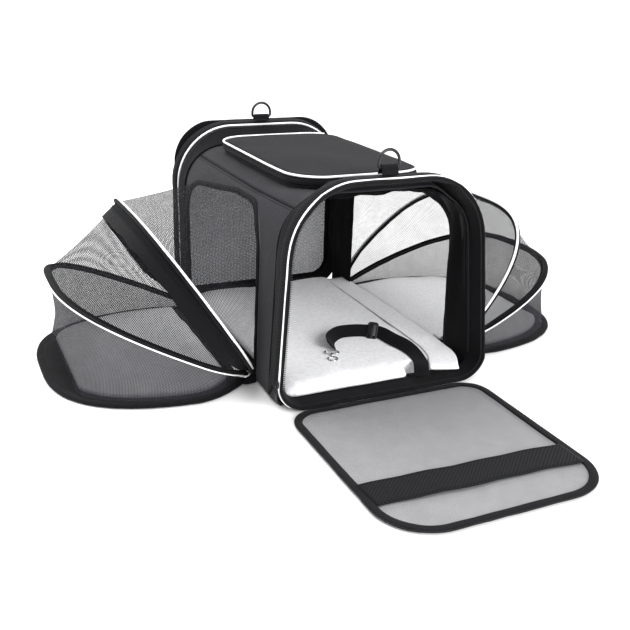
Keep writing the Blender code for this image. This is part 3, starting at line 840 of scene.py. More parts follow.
def joined(name: str, pieces: Sequence[bpy.types.Object]) -> bpy.types.Object:
    """Makes one object out of several closed ones."""
    shape = bmesh.new()
    shape.loops.layers.uv.new(WEAVE_UV)
    for piece in pieces:
        shape.from_mesh(piece.data)
        bpy.data.objects.remove(piece, do_unlink=True)
    mesh = bpy.data.meshes.new(name)
    shape.to_mesh(mesh)
    shape.free()
    mesh.shade_smooth()
    obj = bpy.data.objects.new(name, mesh)
    bpy.context.scene.collection.objects.link(obj)
    return obj


def wear(obj: bpy.types.Object, finish: Finish) -> bpy.types.Object:
    """Puts a finish on a piece."""
    obj.data.materials.clear()
    obj.data.materials.append(finish.material())
    return obj


def leant(place: Vector) -> Vector:
    """Draws a place near the front opening in at the top, and out low down on the right."""
    high = max(0.0, min(1.0, (place.z - 0.03) / 0.17))
    if place.x < 0.0:
        ahead = max(0.0, min(1.0, (-0.04 - place.y) / 0.17))
        gain = -FRONT_LEAN * high
    else:
        ahead = max(0.0, min(1.0, (-0.125 - place.y) / 0.085))
        gain = FRONT_SPREAD - (FRONT_SPREAD + 0.6 * FRONT_LEAN) * high
    share = 1.0 + gain * ahead * ahead * (3.0 - 2.0 * ahead)
    up = max(0.0, min(1.0, (place.z - 0.19) / 0.06))
    climb = max(0.0, min(1.0, (-0.150 - place.y) / 0.032))
    under = max(0.0, min(1.0, (0.268 - place.z) / 0.008))
    inner = max(0.0, min(1.0, (0.100 - abs(place.x)) / 0.030))
    rise = ROOF_RISE * climb * climb * (3.0 - 2.0 * climb) * under * inner
    below_ring = max(0.0, min(1.0, (0.2845 - place.z) / 0.003))
    drop = COLLAR_DROP * max(0.0, min(1.0, (-0.180 - place.y) / 0.014)) * below_ring
    return Vector((place.x * share, place.y, place.z + (rise - drop) * up))


def fit(
    obj: bpy.types.Object, finish: Finish, body: str, nodes: Iterable[str] = ()
) -> bpy.types.Object:
    """Dresses a piece, rides it on its body and lets it stand for CAD nodes.

    Args:
        obj: The piece, in place.
        finish: What it wears.
        body: The CAD body that carries it.
        nodes: The CAD nodes that it stands for.

    Returns:
        The same object.
    """
    wear(obj, finish)
    if body in LEANING:
        for vert in obj.data.vertices:
            vert.co = leant(vert.co)
    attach(obj, body)
    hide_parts(*nodes)
    LOG.info("%s rides on %s", obj.name, body)
    return obj


def keep(node: str, finish: Finish) -> None:
    """Gives a carried-over CAD node its finish."""
    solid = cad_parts[node]
    solid.data.materials.clear()
    solid.data.materials.append(finish.material())
    LOG.info("%s stays as the CAD has it", node)


# --- cabin ----------------------------------------------------------------------------------


@dataclass
class Shell:
    """The cabin's cloth section: a square foot, upright sides and rounded shoulders."""

    half_width: float = 0.1315
    top: float = 0.250
    shoulder: float = 0.060
    foot: float = 0.006
    half_length: float = 0.1937
    seam: float = math.radians(52)

    @property
    def straight(self) -> float:
        """The height of a side between its foot and its shoulder."""
        return self.top - self.shoulder - self.foot

    @property
    def to_seam(self) -> float:
        """Distance up the cloth from the foot to the shoulder seam."""
        return self.foot * math.pi / 2 + self.straight + self.shoulder * self.seam

    @property
    def to_ridge(self) -> float:
        """Distance up the cloth from the foot to the middle of the roof."""
        flat = self.half_width - self.shoulder
        return self.foot * math.pi / 2 + self.straight + self.shoulder * math.pi / 2 + flat

    def rise(self, height: float) -> float:
        """Turns a height on a side into a distance up the cloth."""
        start = self.foot * math.pi / 2
        if height <= self.top - self.shoulder:
            return start + height - self.foot
        lean = (height - self.top + self.shoulder) / self.shoulder
        return start + self.straight + self.shoulder * math.asin(min(1.0, lean))

    def point(self, up: float, y: float, sign: float, proud: float = 0.0) -> Vector:
        """Finds the place on the cloth.

        Args:
            up: Distance up the cloth from the foot.
            y: Distance along the cabin.
            sign: Which side.
            proud: How far off the cloth, outwards.

        Returns:
            The point in the frame.
        """
        bend, x = self.foot * math.pi / 2, self.half_width
        if up < bend:
            turn = up / self.foot - math.pi / 2
            reach = self.foot + proud
            x, z = x - self.foot + reach * math.cos(turn), self.foot + reach * math.sin(turn)
        elif up < bend + self.straight:
            x, z = x + proud, self.foot + up - bend
        else:
            turn = min((up - bend - self.straight) / self.shoulder, math.pi / 2)
            past = max(0.0, up - bend - self.straight - self.shoulder * math.pi / 2)
            reach = self.shoulder + proud
            x = x - self.shoulder + reach * math.cos(turn) - past
            z = self.top - self.shoulder + reach * math.sin(turn)
        return Vector((sign * x, y, z))

    def roof_point(self, across: float, y: float, proud: float = 0.0) -> Vector:
        """Finds a place on the roof from its signed distance off the ridge."""
        return self.point(self.to_ridge - abs(across), y, math.copysign(1.0, across), proud)

    def spread(self, x: float) -> float:
        """Turns an X on the roof into a signed distance over the cloth from the ridge."""
        flat = self.half_width - self.shoulder
        if abs(x) <= flat:
            return x
        return math.copysign(
            flat + self.shoulder * math.asin(min(1.0, (abs(x) - flat) / self.shoulder)), x
        )


# How far the front opening's top is drawn in and its foot spread, as shares, and the bodies
# that lean with it.
FRONT_LEAN = 0.075
FRONT_SPREAD = 0.095
ROOF_RISE = 0.012
COLLAR_DROP = 0.003
LEANING = ("cabin", "top_lid", "front_ring")
SHELL = Shell()
MIDDLE = Vector((0.0, 0.0, 0.12))


def ring_sheet(
    name: str,
    outer: Flat,
    inner: Flat,
    place: Callable[[float, float], Vector],
    rings: int,
    flat: Callable[[Vector], tuple[float, float]],
) -> bpy.types.Object:
    """Makes a sheet with a hole, from its outside edge in to the hole's."""
    rows = []
    for i in range(rings + 1):
        t = i / rings
        rows.append(
            [
                place(a[0] + (b[0] - a[0]) * t, a[1] + (b[1] - a[1]) * t)
                for a, b in zip(outer, inner)
            ]
        )
    return cloth(name, rows, wrap=True, flat=flat)


# The collars' cross-sections: outwards from the wire, then towards the open end. The rear one
# stands up as a rim beyond its piping.
COLLAR_SECTIONS = {
    End.FRONT: (
        (-0.0036, -0.0126),
        (0.0026, -0.0128),
        (0.0040, -0.0100),
        (0.0044, -0.0040),
        (0.0036, 0.0004),
        (0.0030, 0.0030),
        (0.0034, 0.0090),
        (0.0026, 0.0124),
        (0.0010, 0.0131),
        (-0.0004, 0.0116),
        (-0.0022, 0.0030),
        (-0.0036, -0.0080),
    ),
    End.REAR: (
        (-0.0040, -0.0126),
        (-0.0034, -0.0130),
        (-0.0030, -0.0100),
        (-0.0026, -0.0064),
        (0.0004, -0.0034),
        (0.0028, 0.0000),
        (0.0038, 0.0050),
        (0.0044, 0.0100),
        (0.0026, 0.0136),
        (-0.0038, 0.0140),
        (-0.0050, 0.0100),
        (-0.0046, -0.0080),
    ),
}
# How far in from the collars' outside, and from the cabin's ends, the piping runs.
PIPING_INSET = {End.FRONT: 0.0016, End.REAR: 0.0058}
PIPING_SETBACK = {End.FRONT: 0.0050, End.REAR: 0.0180}


@dataclass
class Cabin:
    """The cabin's walls, roof, lining and the two wire-framed collars at its ends."""

    width: float = 0.280
    height: float = 0.280
    length: float = 0.440
    collar_depth: float = 0.026
    collar_wall: float = 0.0096
    collar_head: float = 0.090
    collar_foot: float = 0.037
    piping: float = 0.0015
    arch_low: tuple[float, float] = (-0.122, 0.010)
    arch_high: tuple[float, float] = (0.170, 0.2295)
    right_arch_front: float = -0.152
    arch_slope: float = 0.13
    arch_radii: tuple[float, float] = (0.012, 0.056)
    lining_rear: float = 0.126
    arch_binding: float = 0.006
    cloth_thickness: float = 0.0020
    lining_gap: float = 0.0042

    def outline(self, inset: float) -> Flat:
        """Draws the frame's outline in X and Z, pulled in by inset."""
        half = self.width / 2 - inset
        radii = (self.collar_foot - inset, self.collar_head - inset)
        return box_loop((-half, inset), (half, self.height - inset), radii, 14, 24, 20)

    def run(self, end: End, inset: float, y: float) -> Loop:
        """Places the frame's outline at y, anticlockwise as seen from outside that end."""
        points = [Vector((x, y, z)) for x, z in self.outline(inset)]
        return points if end is End.FRONT else points[::-1]

    def build_collar(self, end: End) -> None:
        """Makes one end's padded collar with its piping and its half of the zip."""
        facing = Vector((0.0, end.value, 0.0))
        centre = end.value * (self.length / 2 - self.collar_depth / 2)
        section = soft_section(COLLAR_SECTIONS[end], 3)
        path = self.run(end, self.collar_wall / 2, centre)
        collar = sweep(f"{end.word}_collar_sleeve", path, section, facing, True)
        ruffle(collar, 0.0004, (0.03, 0.03, 0.03), 3.1 * end.value)
        fit(collar, BLACK_TAPE, "cabin", [f"{end.word}_collar"])
        hoop = self.run(end, self.collar_wall / 2, centre)
        wire = sweep(f"{end.word}_frame_rod", hoop, oval(0.0020, 0.0020, 2, 12), facing, True)
        fit(wire, SPRING_STEEL, "cabin", [f"{end.word}_frame_wire"])

        rim = end.value * (self.length / 2 - PIPING_SETBACK[end])
        cord = opened([p for p in self.run(end, PIPING_INSET[end], rim) if p.z > 0.006])
        line = sweep(
            f"{end.word}_collar_piping", cord, oval(self.piping, self.piping), facing, False
        )
        fit(line, WHITE_CORD, "cabin", [f"{end.word}_piping"])

        teeth_y = end.value * (self.length / 2 - 0.0030)
        teeth = dashes(
            f"{end.word}_collar_zip",
            self.run(end, 0.0066, teeth_y),
            facing,
            0.0026,
            (0.0013, 0.0034, 0.0010),
            True,
        )
        fit(teeth, BLACK_PLASTIC, "cabin")

    def build_yoke(self, end: End) -> None:
        """Makes the sloping band of cloth from a collar down to the cabin's body."""
        corner, across, up = 14, 24, 20
        part = slice(corner, 3 * corner + 2 * up + across + 1)
        near = [
            (x + math.copysign(0.0028 * max(0.0, min(1.0, (0.225 - z) / 0.03)), x), z)
            for x, z in self.outline(0.0068)[part]
        ]
        half = SHELL.half_width + 0.0014
        far = box_loop(
            (-half, 0.0),
            (half, SHELL.top + 0.0016),
            (SHELL.foot, SHELL.shoulder),
            corner,
            across,
            up,
        )[part]
        rows = []
        for i in range(9):
            t = i / 8
            y = end.value * (0.1958 - 0.0240 * t)
            sag = 0.0016 * math.sin(math.pi * t)
            rows.append(
                [
                    Vector((a[0] + (b[0] - a[0]) * t, y, a[1] + (b[1] - a[1]) * t - sag))
                    for a, b in zip(near, far)
                ]
            )
        yoke = cloth(f"{end.word}_yoke", rows)
        ruffle(yoke, 0.0007, (0.03, 0.02, 0.03), 5.0 + end.value)
        fit(thicken(yoke, 0.0012, MIDDLE), DARK_OXFORD, "cabin")
        seam = sweep(
            f"{end.word}_yoke_seam",
            rows[-1],
            oval(0.0011, 0.0011, 2, 8),
            -Vector((0, end.value, 0)),
            False,
        )
        fit(seam, BLACK_THREAD, "cabin")

    def arch(self, inset: float, side: Side) -> Flat:
        """Draws the side opening in Y and height; its top slopes down to the rear."""
        front = self.right_arch_front if side is Side.RIGHT else self.arch_low[0]
        low = (front + inset, self.arch_low[1] + inset)
        high = (self.arch_high[0] - inset, self.arch_high[1] - inset)
        radii = (self.arch_radii[0] - inset, self.arch_radii[1] - inset)
        drawn = []
        for y, z in box_loop(low, high, radii, 12, 22, 20):
            share = max(0.0, min(1.0, (z - 0.10) / 0.10))
            drawn.append((y, z - self.arch_slope * max(0.0, y + 0.02) * share))
        return drawn

    def on_side(self, side: Side, y: float, height: float, proud: float) -> Vector:
        """Finds a place on a side from its height."""
        return SHELL.point(SHELL.rise(height), y, side.value, proud)

    def build_side(self, side: Side) -> None:
        """Makes one side: its outer cloth, its lining and the bound edge of its opening."""
        end = SHELL.half_length
        outer = box_loop((-end, 0.0), (end, SHELL.to_seam), (0.0004, 0.0004), 12, 22, 20)
        hole = [(y, SHELL.rise(z)) for y, z in self.arch(0.0, side)]

        def outside(y: float, up: float) -> Vector:
            """Finds a place on the outer cloth."""
            return SHELL.point(up, y, side.value)

        def inside(y: float, up: float) -> Vector:
            """Finds a place on the lining."""
            return SHELL.point(up, y, side.value, -self.lining_gap)

        panel = ring_sheet(
            f"{side.word}_side_cloth", outer, hole, outside, 16, lambda p: (p.y, p.z)
        )
        ruffle(panel, 0.0011, (0.03, 0.05, 0.09), 1.3 * side.value, self.slack)
        fit(
            thicken(panel, self.cloth_thickness, MIDDLE),
            CHARCOAL_OXFORD,
            "cabin",
            [f"{side.word}_side_panel"],
        )
        # The right-hand lining reaches further over its opening's rear edge.
        rear = self.lining_rear if side is Side.RIGHT else self.arch_high[0]
        facing = [(min(y, rear), up) for y, up in hole]
        lining = ring_sheet(f"{side.word}_lining", outer, facing, inside, 16, lambda p: (p.y, p.z))
        ruffle(lining, 0.0030, (0.05, 0.022, 0.11), 7.7 * side.value, self.loose)
        fit(thicken(lining, 0.0006, MIDDLE), BLACK_LINING_PAINTED_SHADE, "cabin")

        edge = self.arch(self.arch_binding / 2 - 0.001, side)
        path = [self.on_side(side, y, z, -0.0006) for y, z in edge]
        ups = [self.on_side(side, y, z, 0.01) - p for (y, z), p in zip(edge, path)]
        binding = sweep(
            f"{side.word}_arch_tape",
            path,
            oval(0.0040, 0.0026, 2.6),
            [u.normalized() for u in ups],
            True,
        )
        ruffle(binding, 0.0004, (0.02, 0.02, 0.02), 2.0)
        fit(binding, BLACK_TAPE, "cabin", [f"{side.word}_arch_binding"])

        seam_path = [
            SHELL.point(SHELL.to_seam, -end + 0.02 + 2 * (end - 0.02) * i / 60, side.value, 0.0003)
            for i in range(61)
        ]
        lift = SHELL.point(SHELL.to_seam, 0, side.value, 1.0) - SHELL.point(
            SHELL.to_seam, 0, side.value
        )
        seam = sweep(
            f"{side.word}_shoulder_seam", seam_path, oval(0.0013, 0.0008, 2, 8), lift, False
        )
        fit(seam, BLACK_THREAD, "cabin")
        below = [
            SHELL.point(SHELL.to_seam - 0.0042, p.y, side.value, 0.0004) for p in seam_path
        ]
        stitch = dashes(
            f"{side.word}_shoulder_stitch", below, lift, 0.0042, (0.0028, 0.0007, 0.0005), False
        )
        fit(stitch, BLACK_THREAD, "cabin")

    def slack(self, place: Vector) -> float:
        """The share of the side's waves: most low down and near the front."""
        low = max(0.0, 1.0 - place.z / 0.20)
        ahead = max(0.0, min(1.0, (-place.y - 0.05) / 0.10))
        return 0.35 + 0.65 * max(low, ahead)

    def loose(self, place: Vector) -> float:
        """The share of the lining's folds: least by the pad, and most towards the front."""
        above_pad = min(1.0, max(0.05, (place.z - 0.03) / 0.06))
        ahead = min(1.0, max(0.25, (-place.y + 0.05) / 0.18))
        return above_pad * ahead

    def build_roof(self, hatch: Flat) -> None:
        """Makes the roof with its hatch, the roof's lining and the underside."""
        half = SHELL.to_ridge - SHELL.to_seam - 0.0006
        end = SHELL.half_length
        outer = box_loop((-half, -end), (half, end), (0.0004, 0.0004), 10, 20, 24)
        hole = [(SHELL.spread(x), y) for x, y in hatch]
        roof = ring_sheet("roof_cloth", outer, hole, SHELL.roof_point, 10, lambda p: (p.x, p.y))
        ruffle(roof, 0.0009, (0.05, 0.06, 0.05), 11.0)
        fit(thicken(roof, self.cloth_thickness, MIDDLE), CHARCOAL_OXFORD, "cabin", ["roof_panel"])

        def inside(across: float, y: float) -> Vector:
            """Finds a place on the roof's lining."""
            return SHELL.roof_point(across, y, -self.lining_gap)

        lining = ring_sheet("roof_lining", outer, hole, inside, 10, lambda p: (p.x, p.y))
        ruffle(lining, 0.0034, (0.035, 0.05, 0.05), 13.0)
        fit(thicken(lining, 0.0006, MIDDLE), BLACK_LINING_PAINTED_SHADE, "cabin")

        edge = SHELL.half_width - SHELL.foot - 0.0015
        rows = [
            [
                Vector((-edge + 2 * edge * i / 24, -end + 2 * end * j / 30, 0.0003))
                for i in range(25)
            ]
            for j in range(31)
        ]
        under = cloth("underside_cloth", rows, flat=lambda p: (p.x, p.y))
        fit(
            thicken(under, self.cloth_thickness, MIDDLE), BLACK_TAPE, "cabin", ["underside_panel"]
        )
        keep("base_board", BOARD_COVER)

    def build(self, hatch: Flat) -> None:
        """Makes the whole cabin."""
        for end in End:
            self.build_collar(end)
            self.build_yoke(end)
        for side in Side:
            self.build_side(side)
        self.build_roof(hatch)


# --- lid ------------------------------------------------------------------------------------


@dataclass
class TopLid:
    """The padded lid over the roof's hatch, hinged on its right-hand edge."""

    half_width: float = 0.0915
    front: float = -0.1460
    rear: float = 0.1520
    radius: float = 0.045
    low: float = 0.2556
    high: float = 0.2666
    hatch_inset: float = 0.014
    piping: float = 0.0014

    def outline(self, inset: float) -> Flat:
        """Draws the lid from above, pulled in by inset."""
        radius = self.radius - inset
        return box_loop(
            (-self.half_width + inset, self.front + inset),
            (self.half_width - inset, self.rear - inset),
            (radius, radius),
            12,
            18,
            26,
        )

    def build(self) -> None:
        """Makes the padded lid, its piping, its edge tape and the gusset under it."""
        centre = (0.0, (self.front + self.rear) / 2)
        inner = self.outline(0.012)
        low, high = self.low, self.high
        rings = [
            (shrunk(inner, centre, 0.03), low + 0.0004),
            (shrunk(inner, centre, 0.6), low + 0.0004),
            (inner, low + 0.0002),
            (self.outline(0.003), low + 0.0001),
            (self.outline(0.0009), low + 0.0012),
            (self.outline(0.0003), low + 0.0040),
            (self.outline(0.0004), high - 0.0036),
            (self.outline(0.0016), high - 0.0014),
            (self.outline(0.0045), high - 0.0004),
            (inner, high + 0.0004),
            (shrunk(inner, centre, 0.86), high + 0.0009),
            (shrunk(inner, centre, 0.70), high + 0.0012),
            (shrunk(inner, centre, 0.52), high + 0.0014),
            (shrunk(inner, centre, 0.34), high + 0.0015),
            (shrunk(inner, centre, 0.18), high + 0.0015),
            (shrunk(inner, centre, 0.03), high + 0.0015),
        ]
        lid = pillow("top_lid_pad", rings, Matrix.Identity(4))
        ruffle(lid, 0.0010, (0.07, 0.06, 0.05), 4.2, lambda p: 1.0 if p.z > high - 0.001 else 0.0)
        fit(lid, DARK_OXFORD, "top_lid", ["lid_panel"])

        edge = [Vector((x, y, high - 0.0004)) for x, y in self.outline(0.0002)]
        three_sides = opened([p for p in edge if p.x < 0.0800])
        cord = sweep(
            "lid_edge_piping", three_sides, oval(self.piping, self.piping), UP, False
        )
        fit(cord, WHITE_CORD, "top_lid", ["lid_piping"])
        tape = sweep(
            "lid_edge_tape",
            [Vector((x, y, low + 0.0030)) for x, y in self.outline(0.0004)],
            oval(0.0012, 0.0028, 3.0),
            UP,
            True,
        )
        fit(tape, BLACK_TAPE, "top_lid")
        stitch = dashes(
            "lid_top_stitch",
            [Vector((x, y, high + 0.0002)) for x, y in self.outline(0.0070)],
            UP,
            0.0042,
            (0.0029, 0.0008, 0.0006),
            True,
        )
        fit(stitch, BLACK_THREAD, "top_lid")
        gusset = sweep(
            "lid_gusset_tape",
            [Vector((x, y, low - 0.0028)) for x, y in self.outline(0.0052)],
            oval(0.0029, 0.0024, 3.0),
            UP,
            True,
        )
        fit(gusset, BLACK_TAPE, "cabin", ["lid_gusset"])
        teeth = dashes(
            "lid_zip",
            [Vector((x, y, low - 0.0016)) for x, y in self.outline(0.0022)],
            UP,
            0.0026,
            (0.0013, 0.0018, 0.0012),
            True,
        )
        fit(teeth, BLACK_PLASTIC, "cabin")


# --- doors ----------------------------------------------------------------------------------


@dataclass
class Door:
    """A mesh door bound in black tape, hinged along its foot."""

    end: End
    width: float = 0.267
    length: float = 0.274
    start: float = 0.00125
    near_radius: float = 0.034
    far_radius: float = 0.061
    binding: float = 0.010
    hinge_y: float = 0.2225
    hinge_z: float = 0.0045
    band_middle: float = 0.1985
    band_slant: float = 0.029
    band_half: float = 0.0212

    @property
    def body(self) -> str:
        """The CAD body that carries the door."""
        return f"{self.end.word}_door"

    def plane(self) -> Matrix:
        """Local X across, local Y away from the hinge, local Z towards the cabin once shut."""
        hinge = Vector((0.0, self.end.value * self.hinge_y, self.hinge_z))
        if self.end is End.FRONT:
            away, inside = Vector((0.0, -1.0, 0.0)), UP
        else:
            away, inside = UP, Vector((0.0, -1.0, 0.0))
        turn = Matrix((away.cross(inside), away, inside)).transposed().to_4x4()
        return Matrix.Translation(hinge) @ turn

    def run(self, inset: float, high: float) -> Loop:
        """Places the door's outline, pulled in by inset, at a height off its plane."""
        plane, half = self.plane(), self.width / 2 - inset
        loop = box_loop(
            (-half, self.start + inset),
            (half, self.start + self.length - inset),
            (self.near_radius - inset, self.far_radius - inset),
            16,
            24,
            24,
        )
        return [plane @ Vector((x, y, high)) for x, y in loop]

    def half_at(self, away: float, inset: float) -> float:
        """The half width of the cut at a distance from the hinge."""
        half = self.width / 2 - inset
        from_near = away - self.start - inset
        from_far = self.start + self.length - inset - away
        for gap, radius in (
            (from_near, self.near_radius - inset),
            (from_far, self.far_radius - inset),
        ):
            if gap < radius:
                half -= radius - math.sqrt(max(0.0, radius**2 - (radius - max(gap, 0.0)) ** 2))
        return half

    def build_net(self, finish: Finish) -> None:
        """Makes the mesh in slices across the door, with a little slack."""
        plane, inset = self.plane(), self.binding - 0.002
        low, high = self.start + inset, self.start + self.length - inset
        slices, columns = 60, 48
        rows = []
        for i in range(slices + 1):
            away = low + (high - low) * 0.5 * (1 - math.cos(math.pi * i / slices))
            half = self.half_at(away, inset)
            rows.append(
                [
                    plane @ Vector((-half + 2 * half * j / columns, away, -0.0010))
                    for j in range(columns + 1)
                ]
            )
        back = plane.inverted()

        def flat(point: Vector) -> tuple[float, float]:
            """Lays a point back on the door's plane."""
            local = back @ point
            return (local.x, local.y)

        net = cloth(f"{self.end.word}_door_net", rows, flat=flat)
        ruffle(net, 0.0006, (0.09, 0.09, 0.09), 21.0)
        declare_stretched(net, [f"{self.end.word}_door_tape"])
        fit(net, finish, self.body, [f"{self.end.word}_door_mesh"])

    def build_band(self) -> None:
        """Makes the webbing band across the front door."""
        plane = self.plane()
        half = self.half_at(self.band_middle, self.binding) + 0.002
        path = []
        for i in range(61):
            x = -half + 2 * half * i / 60
            wave = 0.0011 * math.sin(x * 41.0 + 0.6) + 0.0006 * math.sin(x * 97.0)
            high = 0.0008 + 0.0007 * (1 + math.sin(x * 33.0)) * (1 - (x / half) ** 2)
            path.append(plane @ Vector((x, self.band_middle - self.band_slant * x + wave, high)))
        normal = plane.to_3x3() @ UP
        band = sweep(
            "front_door_webbing", path, oval(self.band_half, 0.0007, 5.0, 28), normal, False
        )
        fit(band, BLACK_WEBBING, self.body, ["front_door_band"])
        rows = []
        for way in (-1.0, 1.0):
            line = [
                p + (plane.to_3x3() @ Vector((0.0, way * (self.band_half - 0.0032), 0.0009)))
                for p in path
            ]
            rows.append(
                dashes(f"band_stitch_{way}", line, normal, 0.0044, (0.0030, 0.0008, 0.0006), False)
            )
        fit(joined("front_door_band_stitch", rows), BLACK_THREAD, self.body)

    def build(self, finish: Finish) -> None:
        """Makes the door's binding, its stitching, its half of the zip and its mesh."""
        normal = self.plane().to_3x3() @ UP
        tape = sweep(
            f"{self.end.word}_door_tape",
            self.run(0.0050, -0.0010),
            oval(0.0050, 0.0018, 3.2),
            normal,
            True,
        )
        ruffle(tape, 0.0003, (0.02, 0.02, 0.02), 8.0)
        fit(tape, BLACK_TAPE, self.body, [f"{self.end.word}_door_binding"])
        stitch = dashes(
            f"{self.end.word}_door_stitch",
            self.run(0.0080, 0.0004),
            normal,
            0.0042,
            (0.0029, 0.0007, 0.0006),
            True,
        )
        fit(stitch, BLACK_THREAD, self.body)
        ring = self.run(0.0004, -0.0004)
        far = opened([p for p in ring if (self.plane().inverted() @ p).y > 0.03])
        teeth = dashes(
            f"{self.end.word}_door_zip",
            far,
            normal,
            0.0026,
            (0.0013, 0.0022, 0.0014),
            False,
        )
        fit(teeth, BLACK_PLASTIC, self.body)
        self.build_net(finish)
        if self.end is End.FRONT:
            self.build_band()


def declare_stretched(net: bpy.types.Object, rests_on: Sequence[str]) -> None:
    """Logs the size that a stretched mesh sheet is cut to.

    Args:
        net: The sheet, as a mesh with no thickness.
        rests_on: The names of what holds it; not used.
    """
    area = sum(f.area for f in net.data.polygons)
    uv = np.array([d.uv[:] for d in net.data.uv_layers[WEAVE_UV].data])
    wide, long = uv.max(0) - uv.min(0)
    short = max(1.0, area / (wide * long) * 1.0005)
    LOG.info("%s is cut %.3f by %.3f m, %.4f m2", net.name, wide, long * short, area)


# --- rings and sliders ----------------------------------------------------------------------


@dataclass
class LiftingRing:
    """A D-ring that tilts in a webbing tab on top of a collar."""

    end: End
    half_width: float = 0.0145
    height: float = 0.0205
    wire: float = 0.0019
    tab_half_width: float = 0.0115
    tab_half_depth: float = 0.0066
    from_end: float = 0.0178
    rim: float = 0.280
    bar: float = 0.0062

    def build(self) -> None:
        """Makes the ring and its tab with a row of stitches across each foot."""
        y = self.end.value * (0.220 - self.from_end)
        axis = Vector((0.0, y, self.rim + self.bar))
        facing = Vector((0.0, -1.0, 0.0))
        loop = box_loop(
            (-self.half_width, 0.0),
            (self.half_width, self.height),
            (0.0035, self.half_width - 0.0001),
            8,
            8,
            6,
        )
        path = [axis + Vector((x, 0.0, z)) for x, z in loop]
        ring = sweep(
            f"{self.end.word}_lifting_ring", path, oval(self.wire, self.wire), facing, True
        )
        fit(ring, BLACK_METAL, f"{self.end.word}_ring", [f"{self.end.word}_d_ring"])

        depth, foot = self.tab_half_depth, -self.bar + 0.0012
        knots = [
            (depth, foot),
            (0.0052, foot + 0.0006),
            (0.0036, -0.0020),
            (0.0031, 0.0006),
            (0.0, 0.0031),
            (-0.0031, 0.0006),
            (-0.0036, -0.0020),
            (-0.0052, foot + 0.0006),
            (-depth, foot),
        ]
        over = smooth_route([(0.0, y + a, axis.z + b) for a, b in knots], 4)
        section = oval(0.0007, self.tab_half_width, 6.0, 24)
        tab = sweep(f"{self.end.word}_ring_webbing", over, section, Vector((1.0, 0.0, 0.0)), False)
        fit(tab, BLACK_WEBBING, "cabin", [f"{self.end.word}_ring_tab"])
        lines = []
        for way in (-1.0, 1.0):
            across = [
                Vector((x, y + way * 0.0045, axis.z - 0.0030))
                for x in np.linspace(-self.tab_half_width, self.tab_half_width, 12)
            ]
            lines.append(
                dashes(
                    "tab_row",
                    across,
                    Vector((0, way, 0.6)),
                    0.0030,
                    (0.0022, 0.0006, 0.0006),
                    False,
                )
            )
        fit(joined(f"{self.end.word}_ring_stitch", lines), BLACK_THREAD, "cabin")


@dataclass
class ZipSlider:
    """A zip slider with a bridge and a pull tab that hangs from it."""

    name: str
    node: str
    place: Matrix
    body_half: tuple[float, float] = (0.0034, 0.0042)
    pull_half: tuple[float, float] = (0.0022, 0.0088)
    thickness: float = 0.0026

    def build(self) -> None:
        """Makes the slider with local Y along the pull and local Z out of the cloth."""
        place = self.place
        out = (place.to_3x3() @ UP).normalized()
        half_x, half_y = self.body_half

        def body(share: float) -> Flat:
            """Draws the body's outline at a share of its size."""
            loop = box_loop((-half_x, -half_y), (half_x, half_y), (0.0020, 0.0014), 4, 3, 3)
            return [(x, y + 0.0042) for x, y in shrunk(loop, (0.0, 0.0), share)]

        half = self.thickness / 2
        rings = [
            (body(0.05), -half),
            (body(0.86), -half),
            (body(1.0), -half * 0.5),
            (body(1.0), half * 0.2),
            (body(0.80), half * 0.7),
            (body(0.05), half * 0.8),
        ]
        slider = pillow("slider_body", rings, place)
        bridge_path = [
            place @ Vector((0.0, 0.0010 + 0.0066 * t, half * 0.6 + 0.0018 * math.sin(math.pi * t)))
            for t in np.linspace(0.0, 1.0, 9)
        ]
        across = place.to_3x3() @ Vector((1.0, 0.0, 0.0))
        bridge = sweep("slider_bridge", bridge_path, oval(0.0006, 0.0011, 3.0, 10), across, False)
        wide, long = self.pull_half
        loop = box_loop(
            (-wide, 0.0070), (wide, 0.0070 + 2 * long), (wide * 0.8, wide * 0.9), 5, 2, 6
        )
        rim = sweep(
            "slider_pull", [place @ Vector((x, y, half * 0.7)) for x, y in loop],
            oval(0.0007, 0.0007, 2.4, 8), out, True,
        )
        leaf_loop = box_loop(
            (-wide, 0.0125), (wide, 0.0070 + 2 * long), (0.0006, wide * 0.9), 5, 2, 6
        )
        leaf = pillow(
            "slider_leaf",
            [
                (shrunk(leaf_loop, (0.0, 0.018), 0.05), half * 0.7 - 0.0004),
                (leaf_loop, half * 0.7 - 0.0004),
                (leaf_loop, half * 0.7 + 0.0004),
                (shrunk(leaf_loop, (0.0, 0.018), 0.05), half * 0.7 + 0.0004),
            ],
            place,
        )
        made = joined(self.name, [slider, bridge, rim, leaf])
        fit(made, BLACK_METAL, "cabin", [self.node])


# --- cabin floor ----------------------------------------------------------------------------


